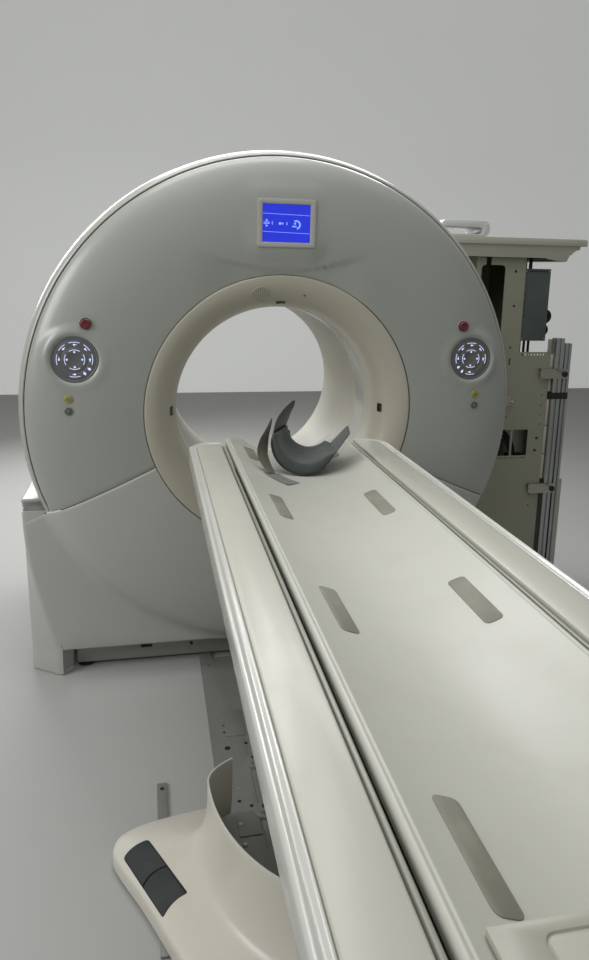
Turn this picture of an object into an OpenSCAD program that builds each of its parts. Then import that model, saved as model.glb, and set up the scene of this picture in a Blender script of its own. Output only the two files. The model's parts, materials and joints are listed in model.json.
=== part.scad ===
// CT scanner with its patient table and its open service side. Millimetres, +Z up.
// X runs to the right of the front face, Y runs into the gantry, the floor is Z = 0
// and the bore axis stands over the origin.

/* [Gantry] */
// Height of the bore axis above the floor
iso_h = 1045; // [1035:5:1080]
// Diameter of the patient bore
bore_d = 780; // [740:10:800]
// Outer diameter of the cream funnel ring on the face
funnel_d = 1020; // [1000:10:1060]
// Diameter of the front face at its seam
face_d = 1860; // [1840:10:1870]
// Outer diameter over the rim band
rim_d = 1920; // [1910:5:1940]
// Depth of the gantry, from the reference plane to the rear face
gantry_depth = 1000; // [980:10:1100]
// Thickness of the moulded covers
cover_t = 6; // [4:0.5:8]
// Depth at which the face is furthest forward
crown_y = 18; // [14:1:22]
// Diameter at which the face is furthest forward
crown_d = 1490; // [1460:10:1510]
// Depth at which the rim band ends and the rear cover starts
rim_back = 300; // [280:5:330]
// Angle of the seam of the lower cover, below the horizontal
seam_a = 23.3; // [22:0.1:25]
// Width of the seams between covers
seam = 3; // [2:0.5:4]

/* [Tunnel and rotor] */
// Depth at which the funnel becomes the straight bore
mouth_y = 180; // [170:5:200]
// Depth of the scan window's front edge
window_y = 258; // [250:2:270]
// Width of the scan window
window_w = 124; // [100:2:140]
// Outer diameter of the rotor drum
drum_d = 1760; // [1700:10:1780]
// Depth of the front face of the drum plate
drum_y = 400; // [396:2:420]
// Thickness of the drum plate
drum_t = 25; // [20:1:30]
// Pitch radius of the main bearing
bearing_r = 505; // [500:1:510]
// Distance of the tube's axis from the bore axis
tube_r = 660; // [650:5:680]

/* [Front fittings] */
// Sideways distance of the keypads from the bore axis
pad_x = 746; // [735:1:755]
// Height of the keypads above the bore axis
pad_z = 205; // [195:1:215]
// Diameter of a keypad
pad_d = 164; // [156:2:170]
// Width of the display glass
screen_w = 174; // [160:2:180]
// Height of the display glass
screen_h = 132; // [120:2:138]
// Height of the display's centre above the bore axis
screen_z = 694; // [688:1:700]
// Diameter of a stop button's cap
stop_d = 36; // [30:1:40]
// Travel of a stop button
stop_travel = 4; // [3:0.5:5]
// Diameter of the small round lamps
lamp_d = 28; // [20:1:30]
// Running clearance round fittings and buttons
fit = 0.3; // [0.2:0.05:0.4]

/* [Base] */
// Half width of the gantry base at the left
base_x = 969; // [960:1:985]
// Height of the left shoulder seam
shoulder_z = 676; // [660:2:690]
// Height of the front cover's bottom edge
apron_z = 106; // [104:1:120]
// Depth of the front cover's flat apron
apron_y = 90; // [86:1:94]
// Depth of the side cover's front edge
side_y = 150; // [148:1:153]

/* [Patient table] */
// Height of the shoulder tops
table_h = 968; // [960:1:975]
// Width of the table over its edge profiles
table_w = 720; // [710:2:740]
// Width between the inner edges of the shoulders
slot_w = 490; // [486:1:496]
// Width of the cradle
cradle_w = 446; // [430:1:450]
// Radius of the cradle's hollow
hollow_r = 420; // [400:5:460]
// Distance of the table's head end in front of the reference plane
head_y = 90; // [85:1:120]
// Distance of the table's foot end in front of the reference plane
foot_y = 2450; // [2400:10:2500]
// Width of an edge profile
edge_w = 26; // [22:1:30]
// Depth of an edge profile
edge_h = 63; // [58:1:70]
// Lift travel of each of the two column stages
stage_travel = 215; // [180:5:215]
// Width of the outer column tube
column_w = 260; // [240:2:270]
// Wall of the column tubes
column_t = 8; // [6:0.5:8]
// Distance of the column's middle in front of the reference plane
column_y = 1180; // [1175:1:1185]

/* [Table base] */
// Half width of the upright wall of the base cover
wall_a = 362; // [355:1:370]
// Length of the wall's rounded end
wall_b = 427; // [420:1:440]
// Distance of the wall's widest place in front of the reference plane
wall_y = 958; // [950:1:965]
// Height of the wall's top edge
wall_h = 290; // [270:5:310]
// Thickness of the base cover
base_t = 5; // [4:0.5:6]
// Length of one foot pedal
pedal_l = 108; // [100:1:110]
// Width of a foot pedal
pedal_w = 72; // [66:1:76]
// Thickness of a foot pedal
pedal_t = 12; // [10:1:13]

/* [Service side] */
// Depth of the front sheet of the service column
service_y = 400; // [395:1:410]
// Depth of the service column, front to back
service_d = 340; // [300:10:360]
// Top of the cream side cover
side_top = 1735; // [1725:1:1745]
// Right end of the cream side cover
side_end = 1434; // [1425:1:1445]
// Right edge of the upright sheet
upright_x = 1160; // [1155:1:1165]
// Right edge of the wide lower panel
panel_x = 1316; // [1310:1:1320]
// Top edge of the wide lower panel
panel_top = 1232; // [1220:1:1240]
// Sheet thickness
sheet = 4; // [3:0.5:5]

/* [Head holder] */
// Outer radius of the foam cup
cup_r = 106; // [100:1:110]
// Thickness of the shell under the cup
cup_t = 4; // [3.5:0.5:4]
// Length of the head holder
cup_l = 240; // [220:5:260]

/* [Hidden] */
$fn = 96;

bore_r = bore_d / 2;
funnel_r = funnel_d / 2;
face_r = face_d / 2;
rim_r = rim_d / 2;
crown_r = crown_d / 2;
drum_r = drum_d / 2;
seat = 0.3;
ring_fn = 240;
funnel_y = crown_y + 25;
edge_y = crown_y + 57;
rim_full_y = edge_y + 75;
window_end = window_y + window_w;
tunnel_t = 6;
rear_r = rim_r - 5;
rear_lip = 60;
stator_y = 455;
stator_t = 30;
stator_in = bearing_r + 55;
stator_out = 900;
hub_t = 20;
beam_top = apron_z - seat;
beam_z = 12;
plate_t = 8;
panel_y = service_y - sheet;
outrigger_x = panel_x + 6;

// Points from last to first
function reversed(v) = [for (i = [len(v) - 1 : -1 : 0]) v[i]];

// A path moved sideways to its left by t
function inset(p, t) = [for (i = [0 : len(p) - 1])
    let (a = p[max(i - 1, 0)], b = p[min(i + 1, len(p) - 1)], d = b - a)
    p[i] + t * [-d[1], d[0]] / norm(d)];

// A closed outline of a wall of thickness t on the left of a path
function wall_of(p, t) = concat(p, reversed(inset(p, t)));

// Points on an ellipse
function arc(c, rx, ry, a0, a1, n) = [for (i = [0 : n])
    let (a = a0 + (a1 - a0) * i / n) [c[0] + rx * cos(a), c[1] + ry * sin(a)]];

// The face from the bore lip over the funnel and the crown, as radius and depth
function lip_path() = concat([[bore_r, window_y]],
    arc([funnel_r, mouth_y], funnel_r - bore_r, mouth_y - funnel_y, 180, 270, 8));
function dome_path() = concat(
    [for (i = [1 : 4]) let (r = funnel_r + (crown_r - funnel_r) * i / 5)
        [r, crown_y + (funnel_y - crown_y) * pow((crown_r - r) / (crown_r - funnel_r), 2)]],
    arc([crown_r, edge_y], face_r - crown_r, edge_y - crown_y, 270, 360, 8));
function face_path() = concat(lip_path(), dome_path());

// Turns a part drawn about Z so that it stands about the bore axis, with Z as depth
module about_bore() {
    translate([0, 0, iso_h]) rotate([-90, 0, 0]) children();
}

// A part of a ring from angle a0 to a1, measured downwards from +X, from a radius and depth outline
module ring_sector(pts, a0, a1) {
    about_bore() rotate([0, 0, a0]) rotate_extrude(angle = a1 - a0, $fn = ring_fn) polygon(pts);
}

// A full ring between two radii and two depths
module ring(r0, r1, y0, y1) {
    about_bore() rotate_extrude() translate([r0, y0]) square([r1 - r0, y1 - y0]);
}

// A round piece along the depth at a place on the face
module spot(x, z, r, y0, y1) {
    translate([x, y1, z]) rotate([90, 0, 0]) cylinder(r = r, h = y1 - y0);
}

// An outline in X and Z, given depth
module upright(y0, y1) {
    translate([0, y1, 0]) rotate([90, 0, 0]) linear_extrude(y1 - y0) children();
}

// A box from its low corner to its high corner
module box(a, b) {
    translate(a) cube(b - a);
}

// A square ring of tube standing on Z
module square_tube(w, t, z0, z1) {
    translate([0, -column_y, z0]) linear_extrude(z1 - z0) difference() {
        square(w, center = true);
        square(w - 2 * t, center = true);
    }
}

// A closed solid through equal outlines, one after another
module loft(s) {
    n = len(s[0]);
    m = len(s);
    pts = [for (c = s) each c];
    sides = [for (j = [0 : m - 2], i = [0 : n - 1]) let (k = (i + 1) % n)
        each [[j * n + i, j * n + k, (j + 1) * n + i], [j * n + k, (j + 1) * n + k, (j + 1) * n + i]]];
    polyhedron(pts, concat(sides, [[for (i = [n - 1 : -1 : 0]) i]],
        [[for (i = [0 : n - 1]) (m - 1) * n + i]]), convexity = 6);
}

// Steel floor plates that tie the gantry base to the table base
anchor_xy = [[-177, -542], [177, -542], [-177, -760], [177, -760]];
strip_w = 50;
floor_x = 305;
wide_y = 400;
module floor_plates() {
    color([0.42, 0.44, 0.43]) {
        for (s = [0, 1]) mirror([s, 0, 0]) {
            box([floor_x - strip_w, -wide_y, 0], [floor_x, 210, plate_t]);
            box([floor_x - strip_w + 8, side_y + 18, 0], [floor_x - 8, 205, beam_z - seat]);
        }
        difference() {
            box([-floor_x, -wall_y - wall_b - 15, 0], [floor_x, -wide_y, plate_t]);
            for (x = [-190, 190]) box([x - 1, -900, plate_t - 1.5], [x + 1, -wide_y - 20, plate_t + 1]);
        }
        box([-floor_x + strip_w, -wide_y, 0], [floor_x - strip_w, 120, plate_t]);
        for (p = anchor_xy) translate([p[0], p[1], plate_t]) difference() {
            union() {
                cylinder(r = 32, h = 10);
                cylinder(r = 21, h = 22);
            }
            translate([0, 0, 8]) cylinder(r = 9, h = 20);
        }
    }
}

// Welded base frame under the gantry, with an outrigger for the service side
beam_x = 785;
module channel(a, b) {
    difference() {
        box(a, b);
        box(a + [6, 6, -1], b - [6, 6, 6]);
    }
}
module base_frame() {
    color([0.52, 0.53, 0.49]) difference() {
        union() {
            channel([-beam_x, side_y + 10, beam_z], [beam_x, side_y + 60, beam_top]);
            channel([-beam_x, stator_y - 25, beam_z], [beam_x, stator_y + 65, beam_top]);
            channel([-beam_x, 820, beam_z], [beam_x, 880, beam_top]);
            for (x = [-beam_x, -40, beam_x - 80]) channel([x, side_y + 54, beam_z], [x + 80, 826, beam_top]);
            for (y = [service_y, service_y + service_d - 60])
                channel([beam_x - 6, y, beam_z], [outrigger_x, y + 60, beam_top]);
            channel([outrigger_x - 60, service_y + 54, beam_z],
                [outrigger_x, service_y + service_d - 54, beam_top]);
        }
        for (p = [[-770, 80, 12], [-655, 80, 88], [-540, 55, 46], [-225, 72, 48]])
            box([p[0], side_y, p[1]], [p[0] + p[2], side_y + 30, p[1] + 15]);
        for (x = [-335, -150, 330, 520]) spot(x, 58, 7, side_y, side_y + 30);
    }
}

// Levelling feet under the base frame
foot_xy = [[-755, 185], [755, 185], [-755, 850], [755, 850], [1280, 430], [1280, 710]];
module levelling_feet() {
    color([0.2, 0.2, 0.2]) for (p = foot_xy) translate([p[0], p[1], 0]) {
        cylinder(r = 34, h = 6);
        cylinder(r = 24, h = beam_z);
        cylinder(r = 9, h = 60);
    }
}

// Standing frame that carries the main bearing
module stator_frame() {
    color([0.50, 0.52, 0.50]) difference() {
        union() {
            ring(stator_in, stator_out, stator_y, stator_y + stator_t);
            for (s = [-1, 1]) {
                box([s * 580 - 60, stator_y, apron_z + 20], [s * 580 + 60, stator_y + stator_t, 420]);
                box([s * 580 - 90, stator_y - 15, apron_z], [s * 580 + 90, stator_y + 55, apron_z + 24]);
                box([s * 580 - 6, stator_y - 10, apron_z + 20], [s * 580 + 6, stator_y, 300]);
            }
            for (a = [-20, -55, -90, -125, -160]) about_bore() rotate([0, 0, a])
                translate([stator_out - 10, -15, stator_y + 5])
                    cube([rear_r - 5 - cover_t - stator_out + 14.7, 30, 20]);
        }
        for (a = [-140, -90, -40, 0, 180]) about_bore() rotate([0, 0, a])
            translate([730, 0, stator_y - 1]) cylinder(r = 70, h = stator_t + 2);
    }
}

// Outer ring of the main bearing
module bearing_outer() {
    color([0.7, 0.71, 0.72]) ring(bearing_r + 0.5, stator_in - seat, stator_y - 15, stator_y + 45);
}

// Stator ring of the drive motor
module motor_stator() {
    color([0.55, 0.38, 0.22]) ring(660, 700, drum_y + drum_t + 1.5, stator_y);
}

// Straight tube behind the scan window
module rear_tunnel() {
    color([0.87, 0.86, 0.80]) ring(bore_r, bore_r + tunnel_t, window_end + seat, gantry_depth - 48.7);
}

// Clear ring that the beam passes through
module scan_window() {
    color([0.75, 0.78, 0.80]) difference() {
        ring(bore_r, bore_r + 4, window_y + seat, window_end);
        ring(bore_r + 3.4, bore_r + 5, window_y + 40, window_y + 90);
    }
}

// Openings in the face for its fittings
module face_cuts() {
    for (s = [-1, 1]) {
        spot(s * pad_x, iso_h + pad_z, pad_d / 2, 0, 80);
        spot(s * stop_x, iso_h + stop_z, stop_d / 2 + 1, 0, stop_floor);
        spot(s * stop_x, iso_h + stop_z, stem_r + fit, 0, 80);
        for (z = lamp_z) spot(s * lamp_x, iso_h + z, lamp_d / 2, 0, 80);
    }
    upright(0, 80) translate([0, iso_h + screen_z]) square([screen_w + 16, screen_h + 16], center = true);
    for (a = laser_a) laser_seat(a, laser_w, laser_l, 30);
    grille_seat(grille_r + fit, 40);
    mic_seat(mic_r + fit, 40);
}

// Raised bosses behind the fittings
module face_bosses() {
    for (s = [-1, 1]) {
        spot(s * pad_x, iso_h + pad_z, pad_d / 2 + 17, crown_y - 1, 46);
        spot(s * stop_x, iso_h + stop_z, stop_d / 2 + 6, crown_y, 34);
    }
}

stop_x = 704;
stop_z = 331;
stop_floor = 28;
stem_r = 9;
lamp_x = 772;
lamp_z = [65, 21];
laser_a = [-90, 0, 180];
laser_w = 36;
laser_l = 26;
laser_r = bore_r + 19;
grille_r = 38;
mic_r = 5;
voice_r = bore_r + 56;
voice_a = 10.7;

// Depth and slope of the funnel wall at a radius
function lip_c(r) = (funnel_r - r) / (funnel_r - bore_r);
function lip_depth(r) = mouth_y - (mouth_y - funnel_y) * sqrt(1 - pow(lip_c(r), 2));
function lip_slope(r) = atan2(lip_c(r) * (mouth_y - funnel_y), sqrt(1 - pow(lip_c(r), 2)) * (funnel_r - bore_r));

// Places a part on the funnel wall, with Z square to the wall
module on_funnel(r, a) {
    about_bore() rotate([0, 0, a]) translate([r, 0, lip_depth(r)]) rotate([0, lip_slope(r), 0]) children();
}
module laser_seat(a, w, l, h) {
    on_funnel(laser_r, a) cube([l, w, h], center = true);
}
module grille_seat(r, h) {
    on_funnel(voice_r, -90 - voice_a) cylinder(r = r, h = h, center = true);
}
module mic_seat(r, h) {
    on_funnel(voice_r, -90 + voice_a) cylinder(r = r, h = h, center = true);
}

// Upper half of the front cover, from the bore lip to the seam
module upper_front_cover() {
    g = seam / face_r * 30;
    color([0.80, 0.82, 0.81]) difference() {
        union() {
            ring_sector(wall_of(face_path(), cover_t), -180 - seam_a + g, seam_a - g);
            face_bosses();
        }
        face_cuts();
    }
}

// Left ridge of the apron by height
function ridge_x(z) = -base_x + 116 - 112 * sin(90 * (z - apron_z) / (shoulder_z - apron_z));
function side_x(z) = -base_x + 12 * (1 - z / shoulder_z);
ridge_n = 9;
function ridge_z(i) = apron_z + (shoulder_z - apron_z) * i / ridge_n;

// Lower half of the front cover, with the apron over the base in the same moulding
module lower_front_cover() {
    g = seam / face_r * 30;
    t = cover_t - 1;
    path = concat(face_path(), arc([face_r, rim_full_y], rim_r - face_r, rim_full_y - edge_y, 300, 360, 5),
        [[rim_r, rim_back]]);
    color([0.66, 0.66, 0.63]) difference() {
        union() {
            ring_sector(wall_of(path, t), seam_a + g, 180 - seam_a - g);
            upright(apron_y, apron_y + t) difference() {
                polygon(concat([for (i = [0 : ridge_n]) [ridge_x(ridge_z(i)), ridge_z(i)]],
                    [[-800, shoulder_z], [-700, 500], [700, 400], [790, 440], [826, 420], [830, 380],
                    [830, apron_z]]));
                translate([0, iso_h]) circle(r = (face_r + rim_r) / 2);
            }
            loft([for (i = [0 : ridge_n]) let (z = ridge_z(i), x = ridge_x(z), b = side_x(z))
                [[x, apron_y, z], [b, side_y - seat, z], [b + t + 1, side_y - seat, z], [x + t + 2, apron_y + t, z],
                [x + 16, apron_y + t, z], [x + 16, apron_y, z]]]);
        }
        box([-1200, -10, -10], [1200, 400, apron_z]);
        ring_sector([[face_r, 60], [rim_r + seam, 60], [rim_r + seam, 400], [face_r, 400]], 180 - seam_a - g, 195);
    }
}

// Rim band round the sides and top of the face
module rim_band() {
    g = seam / face_r * 30;
    path = concat(arc([face_r + seam, rim_full_y], rim_r - face_r - seam, rim_full_y - edge_y, 270, 360, 6),
        [[rim_r, rim_back]]);
    color([0.86, 0.86, 0.82]) about_bore() rotate([0, 0, -180 - seam_a + g])
        rotate_extrude(angle = 180 + 2 * seam_a - 2 * g, $fn = ring_fn) union() {
            polygon(wall_of(path, cover_t - 1));
            translate([face_r - 16, edge_y + 0.31 * cover_t + seat]) square([16 + seam + 6, cover_t - 1]);
        }
}

// Rear cover with its own funnel
module rear_cover() {
    path = concat([[rear_r, rim_back + seat], [rear_r, gantry_depth - 150]],
        arc([rear_r - 100, gantry_depth - 150], 100, 150, 10, 90, 7), [[700, gantry_depth + 6]],
        arc([bore_r + rear_lip, gantry_depth - 47.4], rear_lip, 47.4, 90, 180, 6));
    color([0.85, 0.85, 0.82]) difference() {
        ring_sector(wall_of(path, cover_t), 0, 360);
        box([-1200, 0, -10], [1200, 1200, apron_z]);
        for (a = [-150 : 15 : -30]) about_bore() rotate([0, 0, a])
            translate([560, -9, gantry_depth - 40]) cube([110, 18, 80]);
        for (s = [-1, 1]) box([s * 580 - 62, stator_y - 12, 0], [s * 580 + 62, stator_y + stator_t + 2, 422]);
    }
}

// Left cover of the base, which reaches the floor
module left_side_cover() {
    t = cover_t - 1;
    color([0.80, 0.80, 0.75]) difference() {
        union() {
            upright(side_y, 700) polygon([[-base_x, shoulder_z], [-base_x + 12, 6], [-base_x + 12 + t, 6],
                [-base_x + t, shoulder_z]]);
            upright(side_y, side_y + t) polygon([[-base_x, shoulder_z], [-base_x + 12, 6], [-800, 6],
                [-800, apron_z - 2], [-850, apron_z + 30], [-880, 400], [-884, shoulder_z]]);
            upright(700 - t, 700) polygon([[-base_x, shoulder_z], [-base_x + 12, 6], [-800, 6], [-800, 300],
                [-860, 460], [-875, shoulder_z]]);
        }
        about_bore() cylinder(r = rim_r + seam, h = 1200);
    }
}

// Cap on the left shoulder
module left_shoulder_cap() {
    r = 9;
    color([0.86, 0.86, 0.81]) difference() {
        union() {
            hull() for (x = [-base_x - 2 + r, -800], y = [side_y - 2 + r, 702 - r], z = [shoulder_z + seam + 4,
                shoulder_z + 29 - r]) translate([x, y, z]) sphere(r = z > shoulder_z + 10 ? r : 4, $fn = 24);
            box([-base_x + 2, side_y + 2, shoulder_z + seat], [-820, 690, shoulder_z + seam + 8]);
        }
        about_bore() cylinder(r = rim_r + seam, h = 1200);
    }
}

// Frame of the display
module display_bezel() {
    color([0.82, 0.83, 0.82]) difference() {
        union() {
            upright(crown_y - 6, crown_y - 1) translate([0, iso_h + screen_z]) rounded(screen_w + 40, screen_h + 36, 10);
            upright(crown_y - 2, crown_y + 14) translate([0, iso_h + screen_z])
                square([screen_w + 16 - 2 * fit, screen_h + 16 - 2 * fit], center = true);
        }
        upright(0, crown_y + 5) translate([0, iso_h + screen_z]) square([screen_w, screen_h], center = true);
        upright(0, 80) translate([0, iso_h + screen_z]) square([screen_w - 12, screen_h - 12], center = true);
    }
}

// A rectangle with rounded corners
module rounded(w, h, r) {
    square([w - 2 * r, h], center = true);
    square([w, h - 2 * r], center = true);
    for (x = [-1, 1], y = [-1, 1]) translate([x * (w / 2 - r), y * (h / 2 - r)]) circle(r = r);
}

// Glass and panel of the display
module display_screen() {
    color([0.10, 0.20, 0.78]) upright(crown_y, crown_y + 5) translate([0, iso_h + screen_z])
        square([screen_w - 2 * fit, screen_h - 2 * fit], center = true);
}

// Membrane keypad: a dished disc with raised keys round two circles
key_ring = [[59, 74, 40], [29, 43, 46]];
module key(r0, r1, a, w) {
    intersection() {
        difference() {
            circle(r = r1);
            circle(r = r0);
        }
        polygon([[0, 0], 2 * r1 * [cos(a - w / 2), sin(a - w / 2)], 2 * r1 * [cos(a + w / 2), sin(a + w / 2)]]);
    }
}
module keypad(s) {
    translate([s * pad_x, 0, iso_h + pad_z]) {
        difference() {
            upright(crown_y - 3, crown_y + 18) circle(r = pad_d / 2 - fit);
            upright(0, crown_y - 1.5) circle(r = pad_d / 2 - 5);
        }
        upright(crown_y - 2.6, crown_y - 1.4) {
            for (a = [0, 45, 90, 135, 180, 270, s < 0 ? 315 : 225])
                key(key_ring[0][0], key_ring[0][1], a, key_ring[0][2] - 8);
            for (a = [0 : 90 : 270]) key(key_ring[1][0], key_ring[1][1], a, key_ring[1][2] + 14);
        }
    }
}
module keypads() {
    color([0.36, 0.37, 0.39]) {
        keypad(-1);
        keypad(1);
    }
}

// Round lamps under the keypads
module indicator_lamps() {
    color([0.68, 0.63, 0.18]) for (s = [-1, 1], z = lamp_z) {
        spot(s * lamp_x, iso_h + z, lamp_d / 2 - fit, crown_y - 3, crown_y + 20);
        spot(s * lamp_x, iso_h + z, lamp_d / 2 - 4, crown_y - 4.5, crown_y);
    }
}

// Windows of the positioning lasers in the funnel
module laser_windows() {
    color([0.12, 0.10, 0.09]) for (a = laser_a) laser_seat(a, laser_w - 2 * fit, laser_l - 2 * fit, 6);
}

// Speaker grille and microphone cap in the funnel
module speaker_grille() {
    color([0.80, 0.80, 0.74]) {
        difference() {
            grille_seat(grille_r, 5);
            on_funnel(voice_r, -90 - voice_a)
                for (q = [-3 : 3], r = [-3 : 3]) if (abs(q + r) <= 3)
                    translate([(q + r / 2) * 9.6, r * 8.3, 0]) cylinder(r = 2.6, h = 12, center = true, $fn = 6);
        }
        mic_seat(mic_r, 5);
    }
}

// Stop button: domed cap on a stem
module stop_button(s) {
    translate([s * stop_x, 0, iso_h + stop_z]) rotate([-90, 0, 0]) rotate_extrude()
        polygon(concat([[0, crown_y - 12]], arc([0, crown_y], stop_d / 2, 12, 285, 340, 5),
            [[stop_d / 2, crown_y], [stop_d / 2, stop_floor - stop_travel - 0.5],
            [stem_r, stop_floor - stop_travel - 0.5], [stem_r, 46], [0, 46]]));
}
module left_stop_button() {
    color([0.55, 0.10, 0.12]) stop_button(-1);
}
module right_stop_button() {
    color([0.55, 0.10, 0.12]) stop_button(1);
}

// Folded steel column on the open service side
service_top = side_top - 5 - seat;
service_back = service_y + service_d;
column_bolts = [[1116, 1438], [1114, 1252], [1110, 931], [1112, 1590]];
module service_column() {
    color([0.45, 0.46, 0.40]) difference() {
        union() {
            upright(service_y, service_y + sheet) polygon([[965, apron_z], [upright_x, apron_z],
                [upright_x, service_top], [925, service_top], [925, 1390], [965, 1310]]);
            upright(service_back - sheet, service_back) polygon([[965, apron_z], [upright_x, apron_z],
                [upright_x, service_top], [925, service_top], [925, 1390], [965, 1310]]);
            box([upright_x - sheet, service_y, apron_z], [upright_x, service_back, service_top]);
            box([925, service_y, 1390], [925 + sheet, service_back, service_top]);
            box([965, service_y, apron_z], [upright_x, service_back, apron_z + sheet]);
            for (z = [620, 1120]) box([967, service_y, z], [upright_x, service_back, z + sheet]);
        }
        upright(service_y - 1, service_y + sheet + 1) {
            translate([1005, 1385]) rounded(114, 462, 18);
            translate([969, 1600]) square([24, 50]);
            translate([1113, 1186]) rounded(9, 32, 4.4);
            for (p = column_bolts) translate(p) circle(r = 6);
            translate([1000, 720]) square([150, 150]);
        }
        box([upright_x - 10, service_y + 12, 700], [upright_x + 5, service_y + 70, 905]);
    }
}

// Wide lower panel with its cut-out and rows of holes
cut_x = 1081;
cut_w = 154;
cut_z = 747;
cut_h = 124;
module service_panel() {
    color([0.44, 0.45, 0.39]) difference() {
        union() {
            upright(panel_y, panel_y + sheet - seat) polygon([[966, apron_z], [panel_x, apron_z],
                [panel_x, panel_top - 10], [panel_x - 10, panel_top], [966, panel_top]]);
            box([panel_x - sheet, panel_y, apron_z], [panel_x, service_back, panel_top - 60]);
            box([upright_x + seat, service_back - sheet, apron_z], [panel_x, service_back, panel_top - 60]);
        }
        upright(panel_y - 1, panel_y + sheet + 1) {
            translate([cut_x, cut_z]) square([cut_w, cut_h]);
            for (i = [0 : 7]) translate([1175 + i * 15, panel_top - 12]) circle(r = 4);
            for (i = [0 : 9]) translate([cut_x + 8 + i * 15, cut_z - 10]) circle(r = 3.5);
            for (p = [[1282, 828], [1277, 770], [1115, 931], [1010, 931]]) translate(p) circle(r = 7);
            for (z = [895, 940, 985, 1030]) translate([1290, z]) circle(r = 3.2);
            for (z = [500, 560]) translate([1268, z]) circle(r = 4);
            translate([1113, 1186]) rounded(9, 32, 4.4);
        }
    }
}

// Power supply on the side of the column
psu_x = upright_x + seat;
module power_supply() {
    color([0.34, 0.38, 0.38]) difference() {
        box([psu_x, service_y + 8, 1282], [1288, service_y + 118, 1604]);
        for (i = [0 : 8]) box([psu_x + 12 + i * 13, service_y, 1588], [psu_x + 19 + i * 13, service_y + 20, 1596]);
        for (i = [0 : 5]) box([psu_x + 8, service_y, 1480 - i * 18], [psu_x + 12, service_y + 12, 1488 - i * 18]);
        box([psu_x + 8, service_y + 16, 1270], [1280, service_y + 110, 1290]);
    }
}

// Cream moulded cover over the service side
module side_top_cover() {
    t = 5;
    y0 = service_y - 20;
    y1 = service_back + 20;
    low = side_top - 84;
    color([0.80, 0.80, 0.74]) difference() {
        union() {
            upright(y0 - 8, y1) polygon([[770, side_top], [side_end - 9, side_top], [side_end - 2, side_top - 6],
                [side_end, side_top - 27], [side_end - 4, side_top - 30], [770, side_top - 30]]);
            upright(y0, y1) polygon([[770, side_top - 29], [side_end - 29, side_top - 29],
                [side_end - 30, side_top - 44], [side_end - 50, side_top - 49], [side_end - 52, side_top - 62],
                [side_end - 78, side_top - 70], [side_end - 92, side_top - 98],
                [side_end - 102, side_top - 99], [1247, low - 4], [1240, low], [770, low]]);
        }
        upright(y0 + t, y1 - t) polygon([[770 + t, side_top - t], [side_end - 20, side_top - t],
            [side_end - 34, side_top - 26], [side_end - 76, side_top - 58], [side_end - 110, side_top - 86],
            [1300, low - 20], [770 + t, low - 20]]);
        upright(y0 - 10, y1 + 10) translate([side_end - 52, side_top - 62]) rotate(35) rounded(30, 16, 6);
    }
}

// White vent duct on top of the side cover
module vent_duct() {
    h = 67;
    color([0.90, 0.91, 0.90]) upright(service_y - 15, service_y + 160) difference() {
        translate([853, side_top + seat + h / 2]) rounded(226, h, 30);
        translate([843, side_top + seat + h / 2 - 10]) rounded(180, h - 39, 12);
    }
}

// Two slotted aluminium profiles held upright beside the panel
module slotted_profile(x, w, d, top) {
    translate([x, service_y - 20, 0]) difference() {
        cube([w, d, top]);
        for (s = [-1, 1]) {
            translate([w / 2 - 4, s < 0 ? -1 : d - 7, -1]) cube([8, 8, top + 2]);
            translate([s < 0 ? -1 : w - 7, d / 2 - 4, -1]) cube([8, 8, top + 2]);
        }
    }
}
profile_x = panel_x + 16;
module rail_profiles() {
    color([0.60, 0.62, 0.63]) {
        slotted_profile(profile_x, 40, 40, 1296);
        slotted_profile(profile_x + 48, 30, 40, 1273);
    }
}

// Brackets that hold the profiles to the panel
module rail_brackets() {
    color([0.50, 0.50, 0.46]) for (p = [[1262, 1112], [1250, 566]]) difference() {
        union() {
            upright(service_y - 20 - sheet - seat, service_y - 20 - seat) translate([p[0] + 70, p[1] + 23]) rounded(140, 46, 10);
            box([p[0], panel_y - 21, p[1] + 43], [profile_x - 3, panel_y - seat, p[1] + 46]);
        }
        spot(p[0] + 122, p[1] + 20, 8, 360, 400);
    }
}

// Fabric strap round both profiles
module rail_strap() {
    x0 = profile_x - seat;
    y0 = service_y - 20 - seat;
    color([0.06, 0.06, 0.06]) difference() {
        box([x0 - 3, y0 - 3, 1016], [x0 + 82, y0 + 44, 1046]);
        box([x0, y0, 1000], [x0 + 78.6, y0 + 40.6, 1060]);
    }
}

// Blue-grey side panel with its cream front flange
module grey_side_panel() {
    x = profile_x + 84;
    color([0.36, 0.41, 0.42]) {
        box([x, service_y + 24, 6], [x + sheet, service_back, 617]);
        box([outrigger_x + seat, service_y + 24, 6], [x + 36, service_y + 24 + sheet, 617]);
        box([panel_x + seat, service_y + 24, 616], [panel_x + 22, service_y + 24 + sheet, 1288]);
    }
}

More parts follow.
